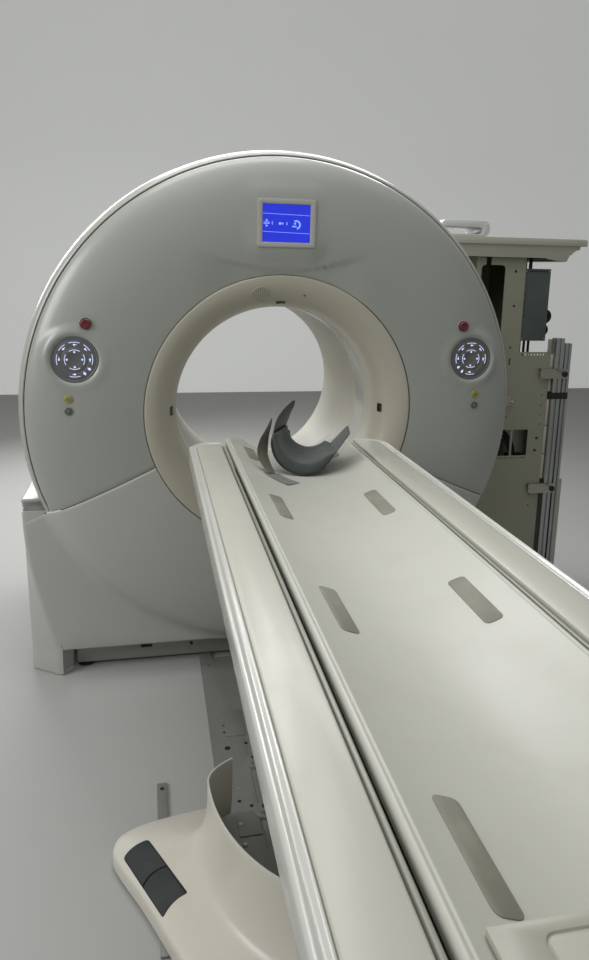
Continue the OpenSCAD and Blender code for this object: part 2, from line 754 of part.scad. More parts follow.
// Cables of the power supply and the hoses behind the cut-out
module cable(p, r, l) {
    translate(p) cylinder(r = r, h = l, $fn = 24);
}
module bend(c, big, r, a0, a1) {
    translate(c) rotate([90, 0, 0]) rotate([0, 0, a0]) rotate_extrude(angle = a1 - a0)
        translate([big, 0]) circle(r = r, $fn = 24);
}
module cable_harness() {
    color([0.10, 0.10, 0.10]) {
        for (i = [0 : 3]) cable([psu_x + 24 + i * 13, service_y + 60 + 9 * (i % 2), 1604], 4.5, side_top - 5 - 1604 - seat);
        for (i = [0 : 2]) cable([psu_x + 30 + i * 22, service_y + 60, panel_top - 140], 6, 1290 - panel_top + 140);
        for (i = [0 : 2]) let (big = 112 + i * 17, y = service_y + 24 + i * 15, z = 735 + big,
            x0 = sqrt(pow(rear_r, 2) - pow(iso_h - z - 7, 2)) + seat) {
            bend([1055, y, 735], big, 7, 0, 90);
            cable([1055 + big, y, apron_z], 7, 735 - apron_z);
            translate([x0, y, z]) rotate([0, 90, 0]) cylinder(r = 7, h = 1055 - x0, $fn = 24);
        }
        for (i = [0 : 2]) bend([1288 + seat, service_y + 30 + i * 16, 1392], 28 + i * 3, 5, -90, 90);
        for (i = [0 : 1]) bend([1288 + seat, service_y + 38 + i * 20, 1330], 22 + i * 6, 5, -90, 90);
    }
}

// Turning drum with its hub and front rim
module rotor_drum() {
    color([0.62, 0.63, 0.64]) difference() {
        union() {
            ring(bore_r + 40, drum_r, drum_y, drum_y + drum_t);
            ring(drum_r - 14, drum_r, drum_y - 120, drum_y + 1);
            ring(bore_r + 40, bore_r + 40 + hub_t, drum_y, stator_y + 65);
            ring(640, 656, drum_y, stator_y - 4);
        }
        for (a = [0 : 30 : 330]) about_bore() rotate([0, 0, a + 15]) translate([600, 0, drum_y - 1])
            cylinder(r = 28, h = drum_t + 2);
    }
}

// Inner ring of the main bearing
module bearing_inner() {
    color([0.72, 0.73, 0.74]) ring(bore_r + 40 + hub_t + 0.2, bearing_r - 0.3, stator_y - 15, stator_y + 45);
}

// X-ray tube in its housing at the top of the drum
module xray_tube() {
    color([0.70, 0.71, 0.72]) about_bore() translate([0, -tube_r, 0]) {
        translate([0, 0, drum_y - 150]) cylinder(r = 105, h = 150);
        translate([0, 0, drum_y - 172]) cylinder(r = 80, h = 24);
        for (x = [-60, 60]) translate([x, -40, drum_y - 198]) cylinder(r = 22, h = 30);
        translate([-120, -30, drum_y - 40]) cube([240, 60, 40]);
    }
}

// Collimator box between the tube and the bore
module collimator() {
    color([0.30, 0.31, 0.33]) about_bore() difference() {
        translate([-85, -tube_r + 105.3, drum_y - 130]) cube([170, 110, 130]);
        translate([-60, -tube_r + 100, drum_y - 100]) cube([120, 130, 40]);
    }
}

// Detector arc opposite the tube, with its cooling fins
module detector() {
    color([0.32, 0.35, 0.40]) {
        ring_sector([[600, drum_y - 120], [690, drum_y - 120], [690, drum_y], [600, drum_y]], 62, 118);
        for (a = [64 : 4 : 116]) about_bore() rotate([0, 0, a]) translate([689, -5, drum_y - 110]) cube([36, 10, 100]);
    }
}

// High-voltage generator
module hv_generator() {
    color([0.55, 0.57, 0.58]) about_bore() rotate([0, 0, 25]) {
        translate([530, -150, drum_y - 150]) cube([240, 300, 150]);
        translate([769, -100, drum_y - 120]) cube([40, 200, 100]);
    }
}

// Heat exchanger of the tube, with its fins
module cooling_unit() {
    color([0.66, 0.68, 0.70]) about_bore() rotate([0, 0, 155]) {
        translate([560, -130, drum_y - 60]) cube([220, 260, 60]);
        for (i = [0 : 10]) translate([570 + i * 19, -120, drum_y - 140]) cube([6, 240, 81]);
    }
}

// Slip ring at the back of the hub, with its tracks
module slip_ring() {
    color([0.72, 0.55, 0.30]) difference() {
        ring(bore_r + 41, 640, stator_y + 65, stator_y + 95);
        for (r = [480 : 26 : 610]) ring(r, r + 10, stator_y + 90, stator_y + 96);
    }
}

// Balance weights bolted inside the drum's rim
module balance_weight() {
    color([0.28, 0.28, 0.29]) for (a = [-42, 202]) ring_sector([[770, drum_y - 60], [drum_r - 14.3, drum_y - 60],
        [drum_r - 14.3, drum_y], [770, drum_y]], a, a + 20);
}

// Steel plate under the lift column
module table_base_plate() {
    color([0.45, 0.46, 0.44]) difference() {
        box([-150, -column_y - 150, plate_t], [150, -column_y + 250, plate_t + 18]);
        for (x = [-120, 120]) translate([x, -column_y + 210, 0]) cylinder(r = 9, h = 60);
    }
}

// Path of the base cover: a is the angle from the foot end, s the side
function wall_xy(a) = [wall_a * sin(a), -wall_y - (abs(a) < 90 ? wall_b : 137) * cos(a)];
flange_rows = [0, 6, 12, 20, 30, 42, 54, 65, 75, 84, 92, 96, 100, 105, 112, 119, 127];
function flange_out(a) = sign(a) * lookup(abs(a), [[0, 0], [12, 130], [25, 240], [45, 385], [75, 526],
    [92, 604], [96, 604], [100, 585], [105, 535], [112, 445], [119, 372], [127, 310]]);
function flange_y(a) = lookup(abs(a), [[0, -1600], [12, -1585], [25, -1520], [45, -1325], [75, -1040],
    [92, -890], [96, -850], [100, -820], [105, -795], [112, -775], [119, -765], [127, -758]]);
pedal_c = [-494, -995];
pedal_a = 116.4;
pedal_tilt = 17;
pedal_z = 56;

// Places a part in the frame of the pedals, X along the cover's edge and Y towards the wall
module at_pedals() {
    translate([pedal_c[0], pedal_c[1], pedal_z]) rotate([0, 0, pedal_a]) mirror([0, 1, 0])
        rotate([pedal_tilt, 0, 0]) children();
}

module half_cover() {
    flange = [for (r = reversed(flange_rows)) let (a = -r, w = wall_xy(a), o = [flange_out(a), flange_y(a)],
        u = w - o)
        [for (q = [[0, plate_t + seat], [0, 40], [0.07, 54], [0.55, 86], [0.88, 124], [1, 185]]) [o[0] + u[0] * q[0],
            o[1] + u[1] * q[0], q[1]]]];
    inner = [for (r = reversed(flange_rows)) let (a = -r, w = wall_xy(a), o = [flange_out(a), flange_y(a)],
        u = w - o, d = u / norm(u), p = o + d * base_t)
        [for (q = [[1, 178], [0.88, 118], [0.55, 80], [0.09, 49], [0, 37], [0, plate_t + seat]]) [p[0] + u[0] * q[0],
            p[1] + u[1] * q[0], q[1]]]];
    loft([for (i = [0 : len(flange_rows) - 1]) concat(flange[i], inner[i])]);
}

module base_wall() {
    angles = [for (i = [0 : 28]) -127 + 254 * i / 28];
    outer = [for (a = angles) wall_xy(a)];
    translate([0, 0, plate_t + seat]) linear_extrude(wall_h - plate_t - seat)
        polygon(wall_of(outer, base_t));
}

// Base cover of the table: an upright U-shaped wall with a wide foot flange
module table_base_cover() {
    color([0.86, 0.83, 0.76]) union() {
        base_wall();
        for (s = [0, 1]) mirror([s, 0, 0]) difference() {
            union() {
                half_cover();
                at_pedals() translate([-pedal_l - 6, -pedal_w / 2 - 5, -22])
                    cube([2 * pedal_l + 12, pedal_w + 10, 24]);
            }
            at_pedals() translate([-pedal_l - 2.5, -pedal_w / 2 - 1.8, -18])
                cube([2 * pedal_l + 5, pedal_w + 2.3, 60]);
        }
    }
}

// One foot pedal with bars across its grip, bored for its pivot at the wall's side
pivot_in = 6;
module pedal(near) {
    at_pedals() translate([near ? -pedal_l - 1 : 1, -pedal_w / 2, 0]) difference() {
        union() {
            rotate([90, 0, 90]) linear_extrude(pedal_l)
                polygon([[0, 0], [pedal_w - 3, 0], [pedal_w, 3], [pedal_w, pedal_t], [0, pedal_t]]);
            for (i = [0 : 2]) translate([22 + i * 26, 14, pedal_t]) cube([5, pedal_w - 28, 1.6]);
        }
        for (x = [14, pedal_l - 18]) translate([x, 8, -1]) cube([4, pedal_w - 22, 3]);
        translate([-1, pedal_w - pivot_in, pedal_t / 2]) rotate([0, 90, 0]) cylinder(r = 2.5, h = pedal_l + 2);
    }
}
module left_raise_pedal() {
    color([0.16, 0.19, 0.18]) pedal(true);
}
module left_lower_pedal() {
    color([0.16, 0.19, 0.18]) pedal(false);
}
module right_raise_pedal() {
    color([0.16, 0.19, 0.18]) mirror([1, 0, 0]) pedal(true);
}
module right_lower_pedal() {
    color([0.16, 0.19, 0.18]) mirror([1, 0, 0]) pedal(false);
}

// Telescopic lift column in three square tubes
frame_z = table_h - 128;
stage_h = (frame_z - plate_t - 18 + 211) / 3;
outer_h = stage_h - 17;
middle_h = stage_h - 12;
inner_h = stage_h + 28;
module column_outer() {
    color([0.62, 0.63, 0.62]) {
        square_tube(column_w, column_t, plate_t + 18, plate_t + 18 + outer_h);
        translate([0, -column_y, plate_t + 18]) linear_extrude(10) square(column_w - 2, center = true);
    }
}
module column_middle() {
    color([0.68, 0.69, 0.68]) square_tube(column_w - 2 * column_t - 1, column_t,
        frame_z - inner_h + 112 - middle_h, frame_z - inner_h + 112);
}
module column_inner() {
    color([0.72, 0.73, 0.72]) union() {
        square_tube(column_w - 4 * column_t - 2, column_t, frame_z - inner_h, frame_z);
        translate([0, -column_y, frame_z - 12]) linear_extrude(12) square(column_w - 4 * column_t - 4, center = true);
    }
}

// Table chassis: two long beams on cross members
cross_y = [-260, -620, -1110, -1250, -1750, -2280];
beam_in = slot_w / 2 + 7;
beam_out = 300;
cradle_low = table_h - 75;
module table_frame() {
    color([0.50, 0.52, 0.50]) {
        for (s = [0, 1]) mirror([s, 0, 0]) difference() {
            box([beam_in, -foot_y + 60, frame_z], [beam_out, -head_y - 60, table_h - 5 - seat]);
            box([beam_in + 6, -foot_y + 66, frame_z - 1], [beam_out - 6, -head_y - 66, table_h - 12]);
        }
        for (y = cross_y) difference() {
            box([-beam_in - 1, y - 30, frame_z], [beam_in + 1, y + 30, cradle_low - 16]);
            box([-44 - seat, y - 14, cradle_low - 30], [44 + seat, y + 14, cradle_low]);
        }
    }
}

// Rollers that carry the cradle
module cradle_rollers() {
    color([0.85, 0.85, 0.85]) for (y = cross_y) translate([-44, y, cradle_low - seat - 12]) rotate([0, 90, 0])
        cylinder(r = 12, h = 88);
}

// Moulded pan under the table
module table_undercover() {
    z0 = table_h - edge_h - seat - 1;
    x0 = table_w / 2 - edge_w - 4;
    path = [[-x0, z0], [-beam_out - 4, frame_z - 40], [beam_out + 4, frame_z - 40], [x0, z0]];
    color([0.82, 0.82, 0.78]) difference() {
        union() {
            upright(-foot_y + 8, -head_y - 12) polygon(wall_of(path, 4));
            for (y = [-foot_y + 8, -head_y - 16]) upright(y, y + 4) polygon(path);
        }
        translate([0, -column_y, frame_z - 100]) linear_extrude(90) square(column_w - 2 * column_t, center = true);
        upright(-foot_y, -head_y) translate([-cradle_w / 2 - 4, frame_z + 30]) square([cradle_w + 8, 100]);
    }
}

// Plan outline of the table top with rounded corners, drawn inwards by d
module table_plan(d) {
    r = 80 - d;
    w = table_w / 2 - d;
    translate([0, -(head_y + foot_y) / 2]) rounded(2 * w, foot_y - head_y - 2 * d, r);
}

// Moulded covers of the two shoulders, each with a low rail along its inner edge
rail_w = 9;
rail_gap = 4;
rail_low = 7;
module table_side_covers() {
    t = 5;
    out = table_w / 2 - edge_w - seat;
    low = table_h - 34;
    rail_in = slot_w / 2 - rail_w - rail_gap;
    color([0.84, 0.84, 0.79]) for (s = [0, 1]) mirror([s, 0, 0]) difference() {
        intersection() {
            upright(-foot_y, -head_y) polygon([[rail_in, low], [rail_in, table_h - rail_low],
                [rail_in + rail_w, table_h - rail_low], [rail_in + rail_w, low + t], [slot_w / 2, low + t],
                [slot_w / 2, table_h - 5], [slot_w / 2 + 1.5, table_h - 1.5], [slot_w / 2 + 5, table_h],
                [out, table_h], [out, table_h - edge_h], [slot_w / 2, table_h - edge_h], [slot_w / 2, low]]);
            linear_extrude(table_h + 1) table_plan(0);
        }
        intersection() {
            upright(-foot_y, -head_y) polygon([[slot_w / 2 + t, table_h - edge_h - 1], [slot_w / 2 + t, table_h - t],
                [out - t, table_h - t], [out - t, table_h - edge_h - 1]]);
            linear_extrude(table_h + 1) table_plan(t);
        }
        box([slot_w / 2 - 1, -foot_y + 30, table_h - edge_h - 1], [slot_w / 2 + t + 1, -head_y - 30, low]);
    }
}

// Glossy edge profiles with two ridges
module edge_profiles() {
    w = edge_w;
    color([0.90, 0.90, 0.88]) for (s = [0, 1]) mirror([s, 0, 0]) intersection() {
        upright(-foot_y, -head_y) translate([table_w / 2 - w, table_h]) {
            polygon([[0, -2], [7, 0], [w / 2, -5], [w - 8, -4], [w, -8], [w, -edge_h + 12], [w - 6, -edge_h], [0, -edge_h]]);
            translate([5, -4]) circle(r = 5, $fn = 32);
            translate([w - 6, -7]) circle(r = 6, $fn = 32);
        }
        linear_extrude(table_h + 5) table_plan(0);
    }
}

// Cradle: a long hollow board with raised lips
cradle_head = 20;
cradle_l = 2380;
hollow_z = table_h - 55;
module cradle_plan(d) {
    translate([0, -cradle_head - cradle_l / 2]) rounded(cradle_w - 2 * d, cradle_l - 2 * d, 40 - d);
}
belly_r = 515;
function cradle_outline() = concat(arc([cradle_w / 2 - 8, table_h - 11], 8, 8, 90, 0, 4),
    [for (i = [0 : 14]) let (x = cradle_w / 2 * (1 - i / 7)) [x, cradle_low + belly_r - sqrt(pow(belly_r, 2) - x * x)]],
    arc([-cradle_w / 2 + 8, table_h - 11], 8, 8, 180, 90, 4));
module cradle() {
    color([0.88, 0.89, 0.86]) intersection() {
        upright(-cradle_head - cradle_l, -cradle_head) difference() {
            polygon(cradle_outline());
            translate([0, hollow_z + hollow_r]) circle(r = hollow_r);
        }
        linear_extrude(table_h + 5) cradle_plan(0);
    }
}

// Grip strips on the hollow of the cradle
strip_at = [[-235, 165], [-822, 192], [-1432, 187], [-2026, 176]];
strip_x0 = 123;
strip_x1 = 160;
module cradle_pads() {
    color([0.56, 0.55, 0.50]) for (p = strip_at, s = [-1, 1]) upright(p[0], p[0] + p[1]) intersection() {
        difference() {
            translate([0, hollow_z + hollow_r]) circle(r = hollow_r - 0.1);
            translate([0, hollow_z + hollow_r]) circle(r = hollow_r - 1.6);
        }
        translate([s > 0 ? strip_x0 : -strip_x1, hollow_z]) square([strip_x1 - strip_x0, 60]);
    }
}

// Raised plate at the foot end of the cradle
module foot_plate() {
    y0 = -cradle_head - cradle_l + 6;
    y1 = -2055;
    color([0.78, 0.79, 0.72]) difference() {
        upright(y0, y1) intersection() {
            translate([-187, hollow_z]) square([374, table_h - hollow_z]);
            translate([0, hollow_z + hollow_r]) circle(r = hollow_r - seat);
        }
        translate([0, (y0 + y1) / 2, table_h - 2]) linear_extrude(3) difference() {
            rounded(276, y1 - y0 - 32, 14);
            rounded(270, y1 - y0 - 38, 11);
        }
    }
}

// Head holder: a thick foam cup in a thin shell with two raised wings
holder_y = -370;
cup_z = hollow_z + cup_r + cup_t;
module head_holder() {
    color([0.27, 0.30, 0.31]) {
        upright(holder_y, holder_y + cup_l - 70) difference() {
            intersection() {
                translate([0, cup_z]) circle(r = cup_r);
                polygon([[-cup_r, hollow_z], [-cup_r, cup_z + 30], [-88, cup_z + 42], [-46, cup_z + 48],
                    [70, cup_z - 17], [cup_r, cup_z - 17], [cup_r, hollow_z]]);
            }
            translate([52, cup_z + 66]) circle(r = 90);
        }
        difference() {
            upright(holder_y - 6, holder_y + cup_l - 6) union() {
                intersection() {
                    difference() {
                        translate([0, cup_z]) circle(r = cup_r + cup_t - 1);
                        translate([0, cup_z]) circle(r = cup_r - 0.5);
                    }
                    polygon([[-130, hollow_z], [-130, cup_z + 90], [-60, cup_z + 135], [0, cup_z], [60, cup_z - 92],
                        [75, hollow_z]]);
                }
                polygon([[58, cup_z - 93], [63, cup_z - 97], [158, cup_z + 30], [154, cup_z + 32]]);
            }
            translate([0, 0, cup_z]) rotate([0, -90, 0]) linear_extrude(400, center = true)
                polygon([[80, holder_y - 20], [92, holder_y + 20], [140, holder_y + 130], [40, holder_y + 215],
                    [40, holder_y + 300], [300, holder_y + 300], [300, holder_y - 20]]);
        }
    }
}

// Loose strap of the head holder, lying on the cradle
module head_strap() {
    out = -cup_r - cup_t - seat + 1;
    path = [[out + 0.7, cup_z + 34], [out - 6, cup_z + 28], [out - 26, cup_z + 10], [out - 35, cup_z - 26],
        [out - 30, cup_z - 60], [out - 16, cup_z - 84], [out - 4, cup_z - 93.6]];
    color([0.25, 0.22, 0.17]) {
        upright(holder_y + 4, holder_y + 49) polygon(wall_of(path, 3));
        intersection() {
            upright(holder_y - 200, holder_y + 49) intersection() {
                difference() {
                    translate([0, hollow_z + hollow_r]) circle(r = hollow_r - seat);
                    translate([0, hollow_z + hollow_r]) circle(r = hollow_r - seat - 2.5);
                }
                translate([-150, hollow_z]) square([100, 40]);
            }
            linear_extrude(table_h) polygon([[out - 9, holder_y + 49], [out - 9, holder_y - 20], [-84, holder_y - 198],
                [-56, holder_y - 178], [out + 14, holder_y + 49]]);
        }
    }
}

floor_plates();
base_frame();
levelling_feet();
stator_frame();
bearing_outer();
motor_stator();
rear_tunnel();
scan_window();
upper_front_cover();
lower_front_cover();
rim_band();
rear_cover();
left_side_cover();
left_shoulder_cap();
display_bezel();
display_screen();
keypads();
indicator_lamps();
laser_windows();
speaker_grille();
left_stop_button();
right_stop_button();
service_column();
service_panel();
power_supply();
side_top_cover();
vent_duct();
rail_profiles();
rail_brackets();
rail_strap();
grey_side_panel();
cable_harness();
rotor_drum();
bearing_inner();
xray_tube();
collimator();
detector();
hv_generator();
cooling_unit();
slip_ring();
balance_weight();
table_base_plate();
table_base_cover();
left_raise_pedal();
left_lower_pedal();
right_raise_pedal();
right_lower_pedal();
column_outer();
column_middle();
column_inner();
table_frame();
table_undercover();
table_side_covers();
edge_profiles();
cradle_rollers();
cradle();
cradle_pads();
foot_plate();
head_holder();
head_strap();
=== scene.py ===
# %% [markdown]
# # A CT scanner with its patient table, dressed in Blender
#
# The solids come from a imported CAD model, which fixes every size and place. This lesson gives
# them their looks. It starts with the frame, then the camera and the light, so that each piece
# can be judged in the picture as soon as it is made.

import json
import math

import bmesh
import bpy
from mathutils import Matrix, Vector
from mathutils.geometry import delaunay_2d_cdt


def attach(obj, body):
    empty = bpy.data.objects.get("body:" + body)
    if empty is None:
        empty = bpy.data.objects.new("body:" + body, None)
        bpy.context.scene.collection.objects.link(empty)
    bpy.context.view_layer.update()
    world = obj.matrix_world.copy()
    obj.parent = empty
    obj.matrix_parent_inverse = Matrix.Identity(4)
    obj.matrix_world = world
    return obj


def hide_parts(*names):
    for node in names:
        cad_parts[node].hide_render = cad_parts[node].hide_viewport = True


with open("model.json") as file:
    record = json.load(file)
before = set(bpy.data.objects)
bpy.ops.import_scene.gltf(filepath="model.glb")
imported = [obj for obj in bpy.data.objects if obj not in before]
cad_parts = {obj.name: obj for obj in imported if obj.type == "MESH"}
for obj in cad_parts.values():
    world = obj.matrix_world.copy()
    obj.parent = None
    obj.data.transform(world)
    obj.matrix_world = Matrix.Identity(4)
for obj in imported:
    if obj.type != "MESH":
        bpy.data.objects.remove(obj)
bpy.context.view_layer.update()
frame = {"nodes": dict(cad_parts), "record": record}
nodes = frame["nodes"]
scene = bpy.context.scene

# %% [markdown]
# ## Camera
#
# The picture was taken from above the foot end of the table, a little to the left. A camera is
# an object whose local axes are right, up and backwards, so its matrix is written from those
# three directions. Writing the matrix is exact, where turning an object by eye is not.

# %% Camera
camera_place = Vector((-0.4958, -2.5860, 1.583))
camera_yaw = 0.2018
camera_pitch = 0.1916
camera_roll = -0.0230
forward = Vector((math.sin(camera_yaw) * math.cos(camera_pitch),
                  math.cos(camera_yaw) * math.cos(camera_pitch), -math.sin(camera_pitch)))
level = Vector((math.cos(camera_yaw), -math.sin(camera_yaw), 0))
down = forward.cross(level)
right = math.cos(camera_roll) * level + math.sin(camera_roll) * down
down = -math.sin(camera_roll) * level + math.cos(camera_roll) * down
camera_data = bpy.data.cameras.new("camera")
camera_data.sensor_width = 36
camera_data.sensor_fit = "AUTO"
camera_data.lens = 26.97
camera_data.shift_x = 0.0022
camera_data.shift_y = -0.0755
camera_data.clip_end = 60
camera = bpy.data.objects.new("camera", camera_data)
camera.matrix_world = Matrix((
    (right.x, -down.x, -forward.x, camera_place.x),
    (right.y, -down.y, -forward.y, camera_place.y),
    (right.z, -down.z, -forward.z, camera_place.z),
    (0, 0, 0, 1)))
scene.collection.objects.link(camera)
scene.camera = camera
scene.view_settings.view_transform = "Standard"
print("camera looks along", tuple(round(v, 3) for v in forward))

# %% [markdown]
# ## Light and stage
#
# A treatment room is lit by wide flat panels in the ceiling. They make the tops of things bright
# and leave upright faces in a soft half light. The same is done here with a few large area lamps
# and a weak even world, so that shadows stay soft and no colour is pushed to white.

# %% Lamps
def area_lamp(name, place, target, size, power):
    data = bpy.data.lights.new(name, "AREA")
    data.shape = "RECTANGLE"
    data.size = size[0]
    data.size_y = size[1]
    data.energy = power
    lamp = bpy.data.objects.new(name, data)
    lamp.location = place
    lamp.rotation_euler = (Vector(target) - Vector(place)).to_track_quat("-Z", "Y").to_euler()
    scene.collection.objects.link(lamp)
    return lamp


area_lamp("ceiling_over_table", (-0.2, -1.5, 4.0), (-0.1, -1.4, 0), (4.0, 4.4), 38)
area_lamp("ceiling_left", (-0.3, 1.5, 3.2), (-0.3, 1.2, 0), (1.3, 1.1), 42)
area_lamp("ceiling_right", (0.95, 1.1, 3.2), (0.9, 1.0, 0), (1.0, 1.0), 26)
area_lamp("left_fill", (-3.4, -1.3, 2.5), (-0.7, 0.2, 1.3), (1.6, 1.8), 57)
area_lamp("ceiling_over_ring", (-0.45, -0.15, 3.3), (-0.45, -0.05, 0), (1.7, 0.7), 16)
area_lamp("rear_room", (-1.4, 3.4, 2.3), (0.35, 0.4, 1.0), (1.8, 1.6), 60)
area_lamp("front_fill", (0.4, -5.0, 2.3), (0, 0, 1.0), (3.0, 2.0), 6)
world = bpy.data.worlds.new("room")
world.use_nodes = True
world.node_tree.nodes["Background"].inputs["Color"].default_value = (0.98, 0.99, 0.94, 1)
world.node_tree.nodes["Background"].inputs["Strength"].default_value = 0.22
scene.world = world

# %% [markdown]
# ## Writing materials as sums
#
# A node material is a calculation. `Value` wraps one output socket and takes part in Python sums,
# and each sum adds a Math node. Everything else goes through `Finish.node`, which sets a node's
# own settings first and its sockets after them.

# %% Shader values and finishes
class Value:
    """An output socket of a finish that Python can calculate with."""

    def __init__(self, finish, socket):
        self.finish = finish
        self.socket = socket

    def maths(self, operation, first, second=0.0):
        return self.finish.node("ShaderNodeMath", {"operation": operation}, {0: first, 1: second})

    def __add__(self, other):
        return self.maths("ADD", self, other)

    def __mul__(self, other):
        return self.maths("MULTIPLY", self, other)

    def __sub__(self, other):
        return self.maths("SUBTRACT", self, other)

    def __rsub__(self, other):
        return self.maths("SUBTRACT", other, self)

    __radd__ = __add__
    __rmul__ = __mul__


class Finish:
    """One material and the nodes it is made from."""

    def __init__(self, name):
        self.material = bpy.data.materials.new(name)
        self.material.use_nodes = True
        self.tree = self.material.node_tree
        self.shader = self.tree.nodes["Principled BSDF"]
        self.place = self.node("ShaderNodeTexCoord", output="Object")

    def node(self, kind, settings=None, sockets=None, output=0):
        made = self.tree.nodes.new(kind)
        for key, value in (settings or {}).items():
            if key == "stops":
                made.color_ramp.elements[0].position = value[0]
                made.color_ramp.elements[1].position = value[1]
            else:
                setattr(made, key, value)
        for key, value in (sockets or {}).items():
            if isinstance(value, Value):
                self.tree.links.new(value.socket, made.inputs[key])
            else:
                made.inputs[key].default_value = value
        return Value(self, made.outputs[output])

    def noise(self, scale, detail=2.0, roughness=0.5, stretch=None):
        where = self.place
        if stretch:
            where = self.node("ShaderNodeMapping", None, {"Vector": where, "Scale": stretch})
        return self.node("ShaderNodeTexNoise", None, {"Vector": where, "Scale": scale, "Detail": detail,
                                                      "Roughness": roughness})

    def step(self, value, low, high):
        return self.node("ShaderNodeMapRange", {"interpolation_type": "SMOOTHSTEP"},
                         {"Value": value, "From Min": low, "From Max": high})

    def mix(self, share, first, second):
        return self.node("ShaderNodeMix", {"data_type": "RGBA"}, {0: share, 6: first, 7: second}, output=2)

    def bump(self, height, strength, distance):
        return self.node("ShaderNodeBump", None,
                         {"Height": height, "Strength": strength, "Distance": distance})

    def set(self, **sockets):
        for key, value in sockets.items():
            name = key.replace("_", " ")
            if isinstance(value, Value):
                self.tree.links.new(value.socket, self.shader.inputs[name])
            else:
                self.shader.inputs[name].default_value = value
        return self.material


def tone(colour, factor):
    return tuple(min(1.0, c * factor) for c in colour) + (1.0,)


print("finish class ready")

# %% [markdown]
# ## Moulded plastic and lacquer
#
# The scanner's covers are moulded shells with a satin lacquer. Up close such a shell has a very
# fine orange peel, faint cloudy changes of tone, and a thin film of dust and rubbed marks that
# changes how it shines more than how it is coloured.

# %% Finish of moulded covers
def moulded(name, colour, shine=0.35, peel=0.04, coat=0.25, dust=0.35, dust_colour=(0.30, 0.28, 0.24)):
    f = Finish(name)
    cloud = f.noise(2.3, 3.0)
    rubbed = f.step(f.noise(9.0, 6.0, 0.62, (1.0, 1.0, 0.35)), 0.48, 0.72)
    specks = f.step(f.noise(260.0, 2.0), 0.70, 0.76)
    base = f.mix(cloud, tone(colour, 0.955), tone(colour, 1.035))
    normal = f.node("ShaderNodeNewGeometry", output="Normal")
    up = f.node("ShaderNodeSeparateXYZ", None, {0: normal}, output=2)
    lying = f.step(up, 0.55, 0.98)
    film = (rubbed * 0.30 + specks * 0.55) * lying * dust
    f.set(Base_Color=f.mix(film, base, tone(dust_colour, 1.0)),
          Roughness=f.noise(5.0, 4.0) * 0.10 + rubbed * 0.07 + (shine - 0.07),
          Normal=f.bump(f.noise(520.0, 2.0), peel, 0.001),
          Coat_Weight=coat, Coat_Roughness=0.22, Specular_IOR_Level=0.45)
    return f.material


face_finish = moulded("face_shell", (0.345, 0.360, 0.330), 0.38, coat=0.45)
apron_finish = moulded("apron_shell", (0.450, 0.445, 0.415), 0.42)
cream_finish = moulded("cream_shell", (0.465, 0.445, 0.365), 0.42)
table_finish = moulded("table_white", (0.520, 0.515, 0.450), 0.42, dust=0.25)
edge_finish = moulded("edge_white", (0.600, 0.600, 0.560), 0.22, peel=0.02, coat=0.5)
cradle_finish = moulded("cradle_white", (0.525, 0.525, 0.470), 0.46, coat=0.15, dust=0.25)
foot_board_finish = moulded("foot_white", (0.400, 0.395, 0.335), 0.46, coat=0.15, dust=0.25)
base_finish = moulded("base_cream", (0.700, 0.668, 0.590), 0.36, coat=0.3, dust=0.3)
band_finish = moulded("rim_white", (0.400, 0.405, 0.368), 0.30, coat=0.4)
# Olive grey, darker than the shoulders' white; part of that darkness is painted shade of the slot the rail
# lies in.
rail_painted_shade_finish = moulded("inner_rail", (0.300, 0.300, 0.255), 0.40)
side_cover_finish = moulded("side_cover", (0.440, 0.435, 0.365), 0.40)
duct_finish = moulded("duct_white", (0.640, 0.660, 0.650), 0.30)
print("moulded finishes:", len(bpy.data.materials))

# %% [markdown]
# ## Painted sheet, bare metal, rubber, cloth and light
#
# The open service side shows folded sheets under a thin coat of paint, extruded aluminium, black
# cable jackets and dark rubber. Each gets its own small recipe: paint with scratches that reach
# the primer, metal with lines along its draw direction, rubber with a dull dry bloom.

# %% Finish of painted sheet metal
def painted(name, colour, shine=0.5, metal=0.0, wear=0.5, coat=0.0):
    f = Finish(name)
    cloud = f.noise(6.0, 5.0, 0.6)
    grime = f.step(f.noise(3.1, 6.0, 0.65, (1.0, 1.0, 0.25)), 0.50, 0.75)
    scratch = f.step(f.noise(60.0, 3.0, 0.5, (1.0, 1.0, 9.0)), 0.69, 0.74) * wear
    base = f.mix(cloud, tone(colour, 0.90), tone(colour, 1.08))
    soiled = f.mix(grime * 0.35, base, tone(colour, 0.62))
    f.set(Base_Color=f.mix(scratch * 0.6, soiled, tone(colour, 1.7)),
          Roughness=cloud * 0.16 + scratch * 0.12 + (shine - 0.08), Metallic=metal,
          Normal=f.bump(f.noise(700.0, 2.0) + scratch * -0.6, 0.06, 0.001), Coat_Weight=coat)
    return f.material


sheet_finish = painted("frame_paint", (0.300, 0.301, 0.232), 0.55)
beam_finish = painted("beam_paint", (0.330, 0.325, 0.285), 0.50)
supply_finish = painted("supply_blue", (0.085, 0.105, 0.100), 0.45)
side_finish = painted("side_grey", (0.070, 0.082, 0.076), 0.50)
steel_finish = painted("dark_steel", (0.070, 0.070, 0.070), 0.45, 0.6)
plate_finish = painted("floor_steel", (0.255, 0.258, 0.240), 0.52, 0.25, 0.9)
unit_finish = painted("unit_grey", (0.330, 0.345, 0.350), 0.50, 0.2)
dark_unit_finish = painted("unit_dark", (0.060, 0.066, 0.075), 0.50, 0.1)


